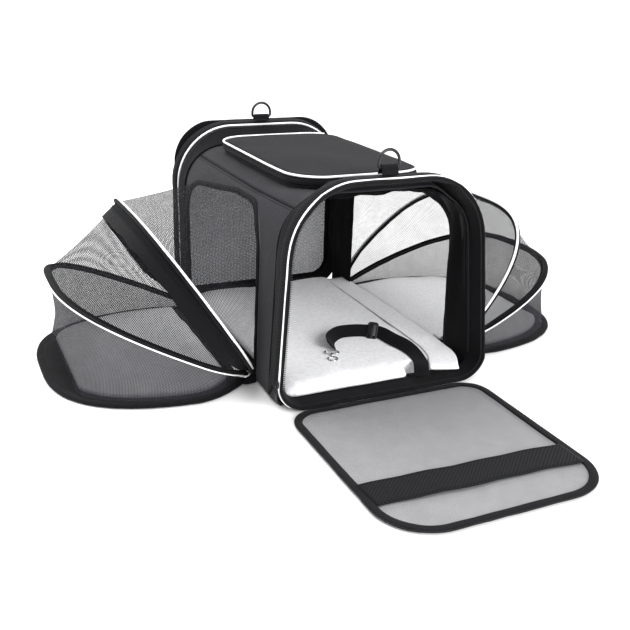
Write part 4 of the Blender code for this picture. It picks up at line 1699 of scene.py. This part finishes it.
@dataclass
class FloorPad:
    """The white fleece pad on the cabin's floor, and the strip along its right-hand edge."""

    half_width: float = 0.121
    half_length: float = 0.188
    low: float = 0.0058
    high: float = 0.0236
    voxel: float = 0.005
    pressure: float = 4.0
    frames: int = 20
    furthest: float = 0.006
    sill: float = 0.0100
    front: float = -0.2130
    left: float = -0.1285
    notch: float = 0.046

    def block(self) -> bpy.types.Object:
        """Makes the pad's unfilled shape, a little smaller than the finished pad."""

        def loop(inset: float) -> Flat:
            """Draws the pad's edge, moved in by an inset."""
            x, y = self.half_width - 0.003 - inset, self.half_length - 0.003 - inset
            return box_loop((-x, -y), (x, y), (0.012, 0.012), 6, 16, 24)

        low, high = self.low + 0.002, self.high - 0.004
        rings = [
            (shrunk(loop(0.004), (0, 0), 0.05), low),
            (loop(0.004), low),
            (loop(0.0), low + 0.004),
            (loop(0.0), high - 0.004),
            (loop(0.004), high),
            (shrunk(loop(0.004), (0, 0), 0.05), high),
        ]
        return pillow("floor_pad_fleece", rings, Matrix.Identity(4))

    def inflate(self, pad: bpy.types.Object) -> None:
        """Fills the pad by cloth simulation, and leaves the result in its mesh."""
        remesh = pad.modifiers.new("remesh", "REMESH")
        remesh.mode = "VOXEL"
        remesh.voxel_size = self.voxel
        settle(pad)
        before = np.array([v.co for v in pad.data.vertices], float)
        blown = pad.modifiers.new("fill", "CLOTH")
        blown.settings.use_pressure = True
        blown.settings.uniform_pressure_force = self.pressure
        blown.settings.effector_weights.gravity = 0.0
        blown.settings.tension_stiffness = 15.0
        blown.settings.bending_stiffness = 0.5
        scene = bpy.context.scene
        blown.point_cache.frame_start, blown.point_cache.frame_end = 1, self.frames
        for number in range(1, self.frames + 1):
            scene.frame_set(number)
        seen = pad.evaluated_get(bpy.context.evaluated_depsgraph_get())
        after = np.array([v.co for v in seen.data.vertices], float)
        pad.modifiers.clear()
        scene.frame_set(1)
        step = after - before
        far = np.linalg.norm(step, axis=1, keepdims=True)
        step *= np.minimum(1.0, self.furthest / np.maximum(far, 1e-9))
        pad.data.vertices.foreach_set("co", (before + step).astype(np.float32).ravel())
        pad.data.update()

    def settle_in(self, pad: bpy.types.Object) -> None:
        """Lays the pad on its board, with its front edge rolled over the sill."""
        reach = -self.front
        for v in pad.data.vertices:
            x, y, z = v.co
            ahead = max(0.0, min(1.0, (-y - 0.140) / 0.048))
            y -= (reach - self.half_length) * ahead * ahead * (3 - 2 * ahead)
            x = max(-self.half_width, min(self.half_width, x))
            x *= self.left / -self.half_width if x < 0.0 else 1.0
            if x > self.notch:
                y = max(y, -0.180 - 0.010 * (x - self.notch) / self.half_width)
            climb = max(0.0, min(1.0, (-y - 0.180) / 0.012))
            floor = self.low + (self.sill - self.low) * climb
            wave = 0.0007 * noise.noise(Vector((x * 22, y * 16, 3.0)))
            wave += 0.0012 * climb * noise.noise(Vector((x * 40, y * 30, 8.0)))
            top = min(z + (0.0008 + wave if z > 0.015 else 0.0), self.high + 0.0016)
            v.co = (x, y, max(top, floor))
        pad.data.update()

    def build(self) -> None:
        """Makes the pad and its edge strip."""
        pad = self.block()
        self.inflate(pad)
        self.settle_in(pad)
        smooth = pad.modifiers.new("smooth", "SUBSURF")
        smooth.levels = smooth.render_levels = 1
        settle(pad).data.shade_smooth()
        fit(pad, WHITE_FLEECE, "cabin", ["floor_pad"])

        knots = (
            (0.1140, 0.155, 0.0244),
            (0.1140, 0.090, 0.0256),
            (0.1140, 0.010, 0.0262),
            (0.1135, -0.080, 0.0266),
            (0.1120, -0.140, 0.0266),
            (0.1010, -0.180, 0.0262),
            (0.0880, -0.206, 0.0250),
            (0.0840, -0.2160, 0.0230),
        )
        path = evenly(smooth_route(knots, 6), 60)
        section = oval(0.0170, 0.0014, 4.0, 28)
        strip = sweep("pad_edge_strip", path, section, UP, False)
        ruffle(strip, 0.0006, (0.03, 0.03, 0.03), 31.0)
        fit(strip, WHITE_FLEECE, "cabin")


# --- tether ---------------------------------------------------------------------------------


@dataclass
class Tether:
    """The safety strap that lies on the pad, with its adjuster and its swivel hook."""

    route: tuple[tuple[float, float, float], ...] = (
        (0.0540, -0.2130, 0.0165),
        (0.0605, -0.2010, 0.0235),
        (0.0675, -0.1840, 0.0254),
        (0.0700, -0.1600, 0.0254),
        (0.0640, -0.1260, 0.0252),
        (0.0590, -0.0985, 0.0252),
        (0.0430, -0.0850, 0.0252),
        (0.0210, -0.0780, 0.0252),
        (0.0040, -0.0800, 0.0252),
        (-0.0140, -0.0950, 0.0252),
        (-0.0235, -0.1190, 0.0252),
    )
    width: float = 0.018
    thickness: float = 0.0014
    lean: float = math.radians(48)

    def build(self) -> None:
        """Makes the strap and everything on it."""
        base = evenly(smooth_route(self.route, 6), 72)
        half = self.width / 2
        path, normals = [], []
        for i, p in enumerate(base):
            t = i / (len(base) - 1)
            twist = max(0.0, min(1.0, (t - 0.12) / 0.22))
            ease = twist * twist * (3 - 2 * twist)
            lean = self.lean * ease
            ahead = (base[min(i + 1, len(base) - 1)] - base[max(i - 1, 0)]).normalized()
            side = UP.cross(ahead).normalized()
            lift = half * math.sin(lean) + 0.0012 * ease
            path.append(p + UP * lift)
            normals.append((UP * math.cos(lean) + side * math.sin(lean)).normalized())
        strap = sweep(
            "tether_webbing", path, oval(half, self.thickness / 2, 5.0, 24), normals, False
        )
        fit(strap, BLACK_WEBBING, "cabin", ["tether_strap"])

        pieces = [self.adjuster(path, normals), *self.hook(path, normals)]

    def adjuster(self, path: Loop, normals: Loop) -> bpy.types.Object:
        """Makes the three-bar slide round the strap."""
        at = int(len(path) * 0.56)
        ahead = (path[at + 1] - path[at - 1]).normalized()
        up = normals[at]
        across = up.cross(ahead)
        turn = Matrix((across, ahead, up)).transposed().to_4x4()
        place = Matrix.Translation(path[at]) @ turn
        loop = box_loop((-0.0112, -0.0062), (0.0112, 0.0062), (0.0026, 0.0026), 5, 6, 3)
        frame_path = [place @ Vector((x, y, 0.0012)) for x, y in loop]
        rim = sweep("slide_rim", frame_path, oval(0.0014, 0.0016, 3.0, 12), up, True)
        bar_path = [place @ Vector((x, 0.0, 0.0024)) for x in np.linspace(-0.0108, 0.0108, 9)]
        bar = sweep("slide_bar", bar_path, oval(0.0017, 0.0011, 2.4, 12), up, False)
        fold_path = [
            place @ Vector((0.0, y, 0.0026 + 0.0022 * math.cos(y / 0.0058 * math.pi / 2)))
            for y in np.linspace(-0.0056, 0.0056, 11)
        ]
        fold = sweep("slide_fold", fold_path, oval(0.0086, 0.0008, 5.0, 20), up, False)
        made = joined("tether_slide", [rim, bar, fold])
        return fit(made, BLACK_PLASTIC, "cabin", ["tether_adjuster"])

    def hook(self, path: Loop, normals: Loop) -> list[bpy.types.Object]:
        """Makes the eye, the swivel, the hook and its gate beyond the strap's end."""
        end, before = Vector(self.route[-1]), Vector(self.route[-2])
        ahead = (end - before).normalized()
        across = UP.cross(ahead)
        lay = Matrix((ahead, across, UP)).transposed().to_4x4()
        start = Matrix.Translation(end + ahead * 0.0008 + UP * 0.0006) @ lay

        def placed(points: Iterable[tuple[float, float]], high: float = 0.0) -> Loop:
            """Carries points from the hook's flat plane into the frame."""
            return [start @ Vector((x, y, high)) for x, y in points]

        eye_loop = box_loop((0.0010, -0.0090), (0.0088, 0.0090), (0.0030, 0.0030), 6, 3, 6)
        eye = sweep("tether_eye_wire", placed(eye_loop, 0.0008), oval(0.0012, 0.0012), UP, True)
        fit(eye, CHROME, "cabin", ["tether_eye"])
        profile = (
            (0.0090, 0.0010),
            (0.0096, 0.0022),
            (0.0112, 0.0024),
            (0.0122, 0.0015),
            (0.0136, 0.0015),
            (0.0146, 0.0025),
            (0.0164, 0.0023),
            (0.0174, 0.0013),
        )
        rows = [
            [
                start @ Vector((x, r * math.cos(a), 0.0006 + r * math.sin(a)))
                for a in (2 * math.pi * k / 16 for k in range(16))
            ]
            for x, r in profile
        ]
        swivel = tidy_normals(cloth("tether_swivel_barrel", rows, wrap=True, caps=True))
        fit(swivel, CHROME, "cabin", ["tether_swivel"])
        turns = [math.radians(165 - 285 * i / 28) for i in range(29)]
        bow = [(0.0240 + 0.0062 * math.cos(a), 0.0062 * math.sin(a)) for a in turns]
        hook = sweep("tether_hook_bow", placed(bow), oval(0.0013, 0.0013), UP, False)
        fit(hook, CHROME, "cabin", ["tether_hook"])
        gate_line = [(0.0186 + 0.0017 * t, 0.0002 - 0.0042 * t) for t in np.linspace(0, 1, 7)]
        gate = sweep("tether_hook_gate", placed(gate_line), oval(0.0009, 0.0009), UP, False)
        fit(gate, CHROME, "tether_gate", ["tether_gate"])
        return [eye, swivel, hook, gate]


# --- side extensions ------------------------------------------------------------------------


@dataclass
class Hoop:
    """One spring hoop's plane: a half-moon swung up from its pivot line."""

    side: Side
    pivot: tuple[float, float]
    reach: float
    angle: float
    half_span: float = 0.166
    centre: float = 0.0134
    power: float = 2.95
    front_foot: float = 0.124
    rear_foot: float = 0.152
    toe_height: float = 0.080

    @property
    def toward_cabin(self) -> Vector:
        """The plane's normal, on the cabin's side."""
        return Vector((-self.side.value * math.sin(self.angle), 0.0, math.cos(self.angle)))

    def at(self, out: float, along: float, lift: float = 0.0) -> Vector:
        """Finds the place at a distance out from the pivot line and along it."""
        sign = self.side.value
        base = Vector(
            (
                sign * (self.pivot[0] + out * math.cos(self.angle)),
                self.centre + along,
                self.pivot[1] + out * math.sin(self.angle),
            )
        )
        return base + self.toward_cabin * lift

    def outline(self, grow: float, start: float, count: int) -> Flat:
        """Draws the hoop, its legs drawn in to their feet, and moves it outwards by grow."""
        dense = []
        for i in range(241):
            turn = math.pi / 2 * math.sin(math.pi * (i / 240 - 0.5))
            across, up = math.sin(turn), abs(math.cos(turn))
            out = up ** (2 / self.power) * self.reach
            along = abs(across) ** (2 / self.power) * self.half_span
            foot = self.front_foot if across < 0 else self.rear_foot
            draw = (1 - foot / self.half_span) * (1 - min(out / self.toe_height, 1.0)) ** 2
            dense.append(Vector((out, math.copysign(along * (1 - draw), across), 0.0)))
        moved = []
        for before, p, after in zip(dense[:1] + dense, dense, dense[1:] + dense[-1:]):
            ahead = (after - before).normalized()
            place = p + Vector((ahead.y, -ahead.x, 0.0)) * grow
            moved.append(Vector((max(place.x, start), place.y, 0.0)))
        return [(p.x, p.y) for p in evenly(moved, count)]

    def run(self, grow: float, lift: float, start: float = 0.004, count: int = 110) -> Loop:
        """Places the half-moon so that it runs anticlockwise about the plane's normal."""
        points = [self.at(out, along, lift) for out, along in self.outline(grow, start, count)]
        return points if self.side is Side.RIGHT else points[::-1]


@dataclass
class Extension:
    """A fold-out side room: three mesh panels over two spring hoops and a bound floor."""

    side: Side
    upper_degrees: float
    lower_degrees: float
    columns: int = 110
    chord: float = 0.350
    mesh_inset: float = -0.0015
    floor_high: float = 0.0060

    def __post_init__(self) -> None:
        """Sets out the two hoops and the floor."""
        up, low = math.radians(self.upper_degrees), math.radians(self.lower_degrees)
        self.upper = Hoop(self.side, (0.1345, 0.0120), 0.2270, up, 0.175)
        self.lower = Hoop(self.side, (0.1389, 0.0100), 0.2440, low, 0.159)
        self.floor = Hoop(self.side, (0.1434, 0.0026), 0.2325, 0.0, 0.166)

    def name(self, part: str) -> str:
        """Names a piece or node after its side."""
        return f"{self.side.word}_{part}"

    def edge(self, hoop: Hoop, lift: float) -> Loop:
        """The line on which mesh is sewn to a hoop, from front to rear."""
        points = hoop.outline(self.mesh_inset, 0.004, self.columns)
        return [hoop.at(out, along, lift) for out, along in points]

    def arch_edge(self, cabin: Cabin) -> Loop:
        """The line on which mesh is sewn to the side opening, from front to rear."""
        inset = 0.002
        outline = cabin.arch(inset, self.side)
        low = cabin.arch_low[1] + 0.010
        up = [p for p in outline if p[1] > low]
        rear, front = max(y for y, _ in outline), min(y for y, _ in outline)
        start = max(range(len(up)), key=lambda i: up[i][0] - 10 * up[i][1])
        route = [(rear, low)] + up[start:] + up[:start] + [(front, low)]
        route.reverse()
        points = [leant(cabin.on_side(self.side, y, z, 0.0014)) for y, z in route]
        return evenly(points, self.columns)

    def floor_edge(self) -> Loop:
        """The line on which mesh meets the floor: along its binding, then straight across."""
        points = self.floor.outline(-0.0050, 0.004, 3 * self.columns)
        most = self.chord - self.floor.pivot[0]
        line = [self.floor.at(min(o, most), a, self.floor_high - 0.0026) for o, a in points]
        return evenly(line, self.columns)

    def rows(self, near: Loop, far: Loop, count: int, belly: float) -> list[Loop]:
        """Fills in between two edges, with a little slack inwards in the middle."""
        middle = Vector((self.side.value * 0.20, 0.0134, 0.03))
        made = []
        for i in range(count + 1):
            t = i / count
            row = []
            for a, b in zip(near, far):
                p = a.lerp(b, t)
                inwards = (middle - p).normalized()
                row.append(
                    p + inwards * belly * math.sin(math.pi * t) * min(1.0, (b - a).length / 0.1)
                )
            made.append(row)
        return made

    def net(
        self,
        part: str,
        rows: list[Loop],
        bodies: tuple[str, str],
        span: tuple[float, float],
        finish: Finish,
        node: str,
    ) -> None:
        """Makes one mesh panel between the two bodies it is sewn to.

        Args:
            part: The piece's name after its side.
            rows: Rows of points from the first body to the second.
            bodies: The two CAD bodies, which one joint joins.
            span: The share of the way from one body to the other at the first and last row.
            finish: What the panel wears.
            node: The CAD node that it stands for.
        """
        panel = cloth(self.name(part), rows)
        declare_stretched(panel, [self.name("upper_hoop_sleeve"), self.name("lower_hoop_sleeve")])
        self.hang(panel, rows, bodies, span)
        wear(panel, finish)
        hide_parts(self.name(node))

    def hang(
        self,
        obj: bpy.types.Object,
        rows: list[Loop],
        bodies: tuple[str, str],
        span: tuple[float, float],
    ) -> None:
        """Bakes a piece's transform and logs the two bodies it lies between."""
        middle = len(rows[0]) // 2
        ends = (rows[0][middle], rows[-1][middle])
        first, last = ends if span[0] < span[1] else ends[::-1]
        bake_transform(obj)
        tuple(first)
        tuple(last)
        LOG.info("%s bends between %s and %s", obj.name, *bodies)

    def build_nets(self, cabin: Cabin) -> None:
        """Makes the three mesh panels and the black facing below the upper hoop."""
        upper, lower, floor = (self.name(n) for n in ("upper_hoop", "lower_hoop", "floor"))
        first = self.edge(self.upper, 0.0012)
        self.net(
            "inner_net",
            self.rows(self.arch_edge(cabin), first, 16, 0.0),
            ("cabin", upper),
            (0.0, 1.0),
            FAN_MESH,
            "mesh_inner",
        )
        second, third = self.edge(self.upper, -0.0012), self.edge(self.lower, 0.0012)
        self.net(
            "middle_net",
            self.rows(second, third, 16, 0.0030),
            (upper, lower),
            (0.0, 1.0),
            FAN_MESH,
            "mesh_middle",
        )
        self.net(
            "outer_net",
            self.rows(self.edge(self.lower, -0.0012), self.floor_edge(), 16, 0.0035),
            (lower, floor),
            (0.0, 1.0),
            LOW_FAN_MESH,
            "mesh_outer",
        )
        if self.side is Side.LEFT:
            self.build_facing("hoop_facing", second, third, (upper, lower), (0.0240, 0.0265))
        self.build_facing("low_facing", third, second, (upper, lower), (0.0050, 0.0050))

    def build_facing(
        self,
        part: str,
        near: Loop,
        far: Loop,
        bodies: tuple[str, str],
        depths: tuple[float, float],
    ) -> None:
        """Makes a black facing along one edge of the middle panel, narrowing to the pivots.

        Args:
            part: The piece's name after its side.
            near: The edge that it runs along.
            far: The panel's other edge.
            bodies: The bodies of the upper and of the lower hoop.
            depths: How deep it is along the front leg and along the rear leg.
        """
        outwards = Vector((self.side.value, 0.0, 0.3)).normalized()
        deep = []
        for i, (a, b) in enumerate(zip(near, far)):
            gap = (b - a).length
            t = max(0.0, min(1.0, i / len(near) * 3.3 - 1.0))
            depth = depths[0] + (depths[1] - depths[0]) * t * t * (3.0 - 2.0 * t)
            ragged = 0.10 * depth * noise.noise(Vector((i * 0.22, self.side.value * 4.0, 0.0)))
            deep.append(min(1.0, (min(depth, 0.5 * gap + 0.002) + ragged) / max(gap, 1e-6)))
        rows = []
        for k in range(6):
            rows.append(
                [
                    a.lerp(b, share * k / 5) + outwards * 0.0008
                    for a, b, share in zip(near, far, deep)
                ]
            )
        share = float(np.mean(deep[20:-20]))
        facing = cloth(self.name(part), rows)
        from_upper = part == "hoop_facing"
        self.hang(facing, rows, bodies, (0.0, share) if from_upper else (1.0, 1.0 - share))
        wear(facing, BLACK_TAPE)
        for k, offset in enumerate((0.0055, 0.0085) if from_upper else ()):
            line = [
                a.lerp(b, min(0.6, offset / max((b - a).length, 1e-6))) + outwards * 0.0014
                for a, b in zip(near, far)
            ][6:-6]
            seam = sweep(
                self.name(f"facing_seam_{k + 1}"),
                line,
                oval(0.0006, 0.0006, 2.0, 6),
                self.upper.toward_cabin,
                False,
            )
            fit(seam, BLACK_THREAD, bodies[0])

    def build_hoop(
        self, hoop: Hoop, level: str, half: float, piping: float, at: tuple[float, float]
    ) -> None:
        """Makes a hoop's sleeve and the white piping along it.

        Args:
            hoop: The hoop's plane.
            level: The hoop's name in the CAD nodes.
            half: Half the sleeve's width.
            piping: The piping's radius.
            at: How far the piping stands outside the hoop, and off its plane towards the cabin.
        """
        body, normal = self.name(level), hoop.toward_cabin
        sleeve = sweep(
            self.name(f"{level}_tape"),
            hoop.run(0.0046 - half, 0.0),
            oval(half, 0.0021, 2.6),
            normal,
            False,
        )
        ruffle(sleeve, 0.0004, (0.02, 0.02, 0.02), 17.0)
        fit(sleeve, BLACK_TAPE, body, [self.name(f"{level}_sleeve")])
        cord = sweep(
            self.name(f"{level}_piping"),
            hoop.run(*at, start=0.012),
            oval(piping, piping),
            normal,
            False,
        )
        fit(cord, WHITE_CORD, body)
        keep(self.name(f"{level}_wire"), SPRING_STEEL)

    def build_floor(self) -> None:
        """Makes the floor's binding, its end flange and its fleece pad."""
        body, floor = self.name("floor"), self.floor
        binding = sweep(
            self.name("floor_tape"), floor.run(-0.0020, 0.0), oval(0.0060, 0.0024, 3.0), UP, False
        )
        ruffle(binding, 0.0003, (0.02, 0.02, 0.02), 19.0)
        fit(binding, BLACK_TAPE, body, [self.name("floor_binding")])
        keep(self.name("floor_board"), BOARD_COVER)

        most = self.chord - floor.pivot[0]
        tip = [(o, a) for o, a in floor.outline(-0.0050, 0.004, 300) if o > most - 0.002]
        rows = []
        for k in range(7):
            t = k / 6
            rows.append(
                [
                    floor.at(
                        most - 0.003 + (max(o, most) - most + 0.003) * t, a, 0.0028 - 0.0006 * t
                    )
                    for o, a in tip
                ]
            )
        flange = cloth(self.name("floor_end_flange"), rows, flat=lambda p: (p.x, p.y))
        ruffle(flange, 0.0005, (0.04, 0.03, 0.04), 23.0)
        fit(thicken(flange, 0.0008, Vector((0, 0, -5))), BLACK_TAPE, body)

        start = 0.004 if self.side is Side.RIGHT else 0.022

        def loop(grow: float) -> Flat:
            """Draws the pad's outline, moved outwards by grow, with a straight cap."""
            arc_points = floor.outline(grow, start, 90)
            side_points = [
                (
                    arc_points[-1][0],
                    arc_points[-1][1] + (arc_points[0][1] - arc_points[-1][1]) * i / 30,
                )
                for i in range(1, 30)
            ]
            cap = most - 0.004 + (grow + 0.016) * 0.5
            return [(min(o, cap), a) for o, a in arc_points + side_points]

        centre = (0.105, 0.0)
        low, high = 0.0016, 0.0098
        shell = [
            (shrunk(loop(-0.018), centre, 0.04), low),
            (loop(-0.018), low),
            (loop(-0.0165), low + 0.0020),
            (loop(-0.0160), low + 0.0045),
            (loop(-0.0175), high - 0.0016),
            (loop(-0.0215), high - 0.0003),
            (shrunk(loop(-0.0215), centre, 0.92), high + 0.0004),
            (shrunk(loop(-0.0215), centre, 0.80), high + 0.0008),
            (shrunk(loop(-0.0215), centre, 0.62), high + 0.0011),
            (shrunk(loop(-0.0215), centre, 0.42), high + 0.0012),
            (shrunk(loop(-0.0215), centre, 0.22), high + 0.0012),
            (shrunk(loop(-0.0215), centre, 0.04), high + 0.0012),
        ]
        sign = self.side.value
        place = Matrix(
            (
                (sign, 0.0, 0.0, sign * floor.pivot[0]),
                (0.0, 1.0, 0.0, floor.centre),
                (0.0, 0.0, 1.0, floor.pivot[1]),
                (0.0, 0.0, 0.0, 1.0),
            )
        )
        pad = pillow(self.name("room_pad"), shell, place)
        ruffle(
            pad, 0.0012, (0.05, 0.035, 0.05), 27.0 * sign, lambda p: 1.0 if p.z > 0.010 else 0.0
        )
        fit(pad, WHITE_FLEECE, body, [self.name("extension_pad")])

    def build_anchors(self) -> None:
        """Makes the folded patches that hold the hoops' ends to the cabin."""
        loop = box_loop((0.1319, 0.001), (0.1484, 0.014), (0.0015, 0.0030), 5, 4, 5)
        loop = [(min(x, 0.1484 - max(0.0, z - 0.008) * 1.9), z) for x, z in loop]
        centre = (0.1390, 0.0075)
        feet = {End.FRONT: -self.upper.front_foot, End.REAR: self.upper.rear_foot}
        for end in End:
            y = self.upper.centre + feet[end] + end.value * 0.01275
            rings = [
                (shrunk(loop, centre, 0.05), -0.0013),
                (shrunk(loop, centre, 0.90), -0.0012),
                (loop, -0.0006),
                (loop, 0.0006),
                (shrunk(loop, centre, 0.90), 0.0012),
                (shrunk(loop, centre, 0.05), 0.0013),
            ]
            sign = self.side.value
            place = Matrix(((sign, 0, 0, 0), (0, 0, -1, y), (0, 1, 0, 0), (0, 0, 0, 1)))
            patch = pillow(self.name(f"{end.word}_hoop_patch"), rings, place)
            fit(patch, BLACK_WEBBING, "cabin", [self.name(f"{end.word}_hoop_anchor")])

    def build(self, cabin: Cabin) -> None:
        """Makes the whole side room."""
        self.build_hoop(self.upper, "upper_hoop", 0.0040, 0.0017, (0.0026, 0.0030))
        self.build_hoop(self.lower, "lower_hoop", 0.0058, 0.0010, (0.0046, -0.0008))
        self.build_floor()
        self.build_nets(cabin)
        self.build_anchors()


# --- studio ---------------------------------------------------------------------------------


@dataclass
class Studio:
    """A plain pale floor, soft light and the camera."""

    azimuth: float = math.radians(-25.0562)
    elevation: float = math.radians(21.0615)
    roll: float = math.radians(1.6352)
    place: tuple[float, float, float] = (-0.4935, -1.0697, 0.4849)
    lens: float = 49.75
    floor_half: float = 30.0
    floor_z: float = -0.0006

    def build_camera(self) -> None:
        """Makes the camera that the scene renders from."""
        a, e = self.azimuth, self.elevation
        back = Vector((math.sin(a) * math.cos(e), -math.cos(a) * math.cos(e), math.sin(e)))
        ahead = -back
        level = ahead.cross(UP).normalized()
        rise = level.cross(ahead)
        right = level * math.cos(self.roll) + rise * math.sin(self.roll)
        up = rise * math.cos(self.roll) - level * math.sin(self.roll)
        lens = bpy.data.cameras.new("camera")
        lens.lens = self.lens
        lens.sensor_width = 36.0
        lens.clip_start, lens.clip_end = 0.01, 200.0
        camera = bpy.data.objects.new("camera", lens)
        turn = Matrix((right, up, back)).transposed().to_4x4()
        camera.matrix_world = Matrix.Translation(Vector(self.place)) @ turn
        bpy.context.scene.collection.objects.link(camera)
        bpy.context.scene.camera = camera

    def lamp(self, name: str, place: Vector, aim: Vector, size: float, power: float) -> None:
        """Hangs one square soft light."""
        light = bpy.data.lights.new(name, "AREA")
        light.size = size
        light.energy = power
        obj = bpy.data.objects.new(name, light)
        turn = (aim - place).to_track_quat("-Z", "Y").to_matrix().to_4x4()
        obj.matrix_world = Matrix.Translation(place) @ turn
        bpy.context.scene.collection.objects.link(obj)

    def build(self) -> None:
        """Makes the floor, the lights and the camera."""
        half = self.floor_half
        rows = [
            [
                Vector((-half + 2 * half * i / 8, -half + 2 * half * j / 8, self.floor_z))
                for i in range(9)
            ]
            for j in range(9)
        ]
        ground = cloth("studio_floor", rows, flat=lambda p: (p.x, p.y))
        paper = bpy.data.materials.new("seamless_white_paper")
        paper.use_nodes = True
        shader = paper.node_tree.nodes["Principled BSDF"]
        shader.inputs["Base Color"].default_value = linear("#fbfbfb")
        shader.inputs["Roughness"].default_value = 0.95
        ground.data.materials.append(paper)
        world = bpy.data.worlds.new("studio")
        bpy.context.scene.world = world
        world.use_nodes = True
        sky = world.node_tree.nodes["Background"]
        sky.inputs["Color"].default_value = (1.0, 1.0, 1.0, 1.0)
        sky.inputs["Strength"].default_value = 1.2
        bpy.context.scene.view_settings.view_transform = "Standard"
        self.lamp("overhead", Vector((-0.7, 0.7, 2.2)), Vector((0.0, 0.0, 0.1)), 1.6, 52.0)
        self.lamp("front_fill", Vector((0.5, -2.3, 1.2)), Vector((0.0, 0.0, 0.05)), 1.0, 52.0)
        self.build_camera()


def build_sliders(cabin: Cabin, lid: TopLid) -> None:
    """Hangs a slider at the foot of each collar and one by the lid's front edge."""
    for end in End:
        sign = end.value
        place = Vector(
            (sign * (cabin.width / 2 + 0.0015), sign * (cabin.length / 2 - 0.0034), 0.045)
        )
        axes = Matrix(
            (Vector((0.0, sign, 0.0)), Vector((0.0, 0.0, -1.0)), Vector((sign, 0.0, 0.0)))
        )
        turn = axes.transposed().to_4x4()
        ZipSlider(
            f"{end.word}_slider", f"{end.word}_zip_slider", Matrix.Translation(place) @ turn
        ).build()
    on_roof = Vector((-0.045, lid.front + 0.0025, SHELL.top + 0.0015))
    turn = Matrix.Rotation(math.pi, 4, "Z")
    ZipSlider("lid_slider", "lid_zip_slider", Matrix.Translation(on_roof) @ turn).build()


# How far the upper and the lower hoop of each side room stand above the floor, in degrees.
LEFT_HOOPS = (57.46, 26.5)
RIGHT_HOOPS = (47.35, 21.4)


def main() -> None:
    """Builds every sub-assembly in order."""
    logging.basicConfig(level=logging.INFO, format="%(message)s")
    Studio().build()
    tether = Tether()
    tether.build()
    cabin, lid = Cabin(), TopLid()
    cabin.build(lid.outline(lid.hatch_inset))
    lid.build()
    Door(End.FRONT).build(DOOR_MESH)
    Door(End.REAR).build(HONEYCOMB_MESH)
    for end in End:
        LiftingRing(end).build()
    build_sliders(cabin, lid)
    FloorPad().build()
    Extension(Side.LEFT, *LEFT_HOOPS).build(cabin)
    Extension(Side.RIGHT, *RIGHT_HOOPS).build(cabin)


if __name__ == "__main__":
    main()
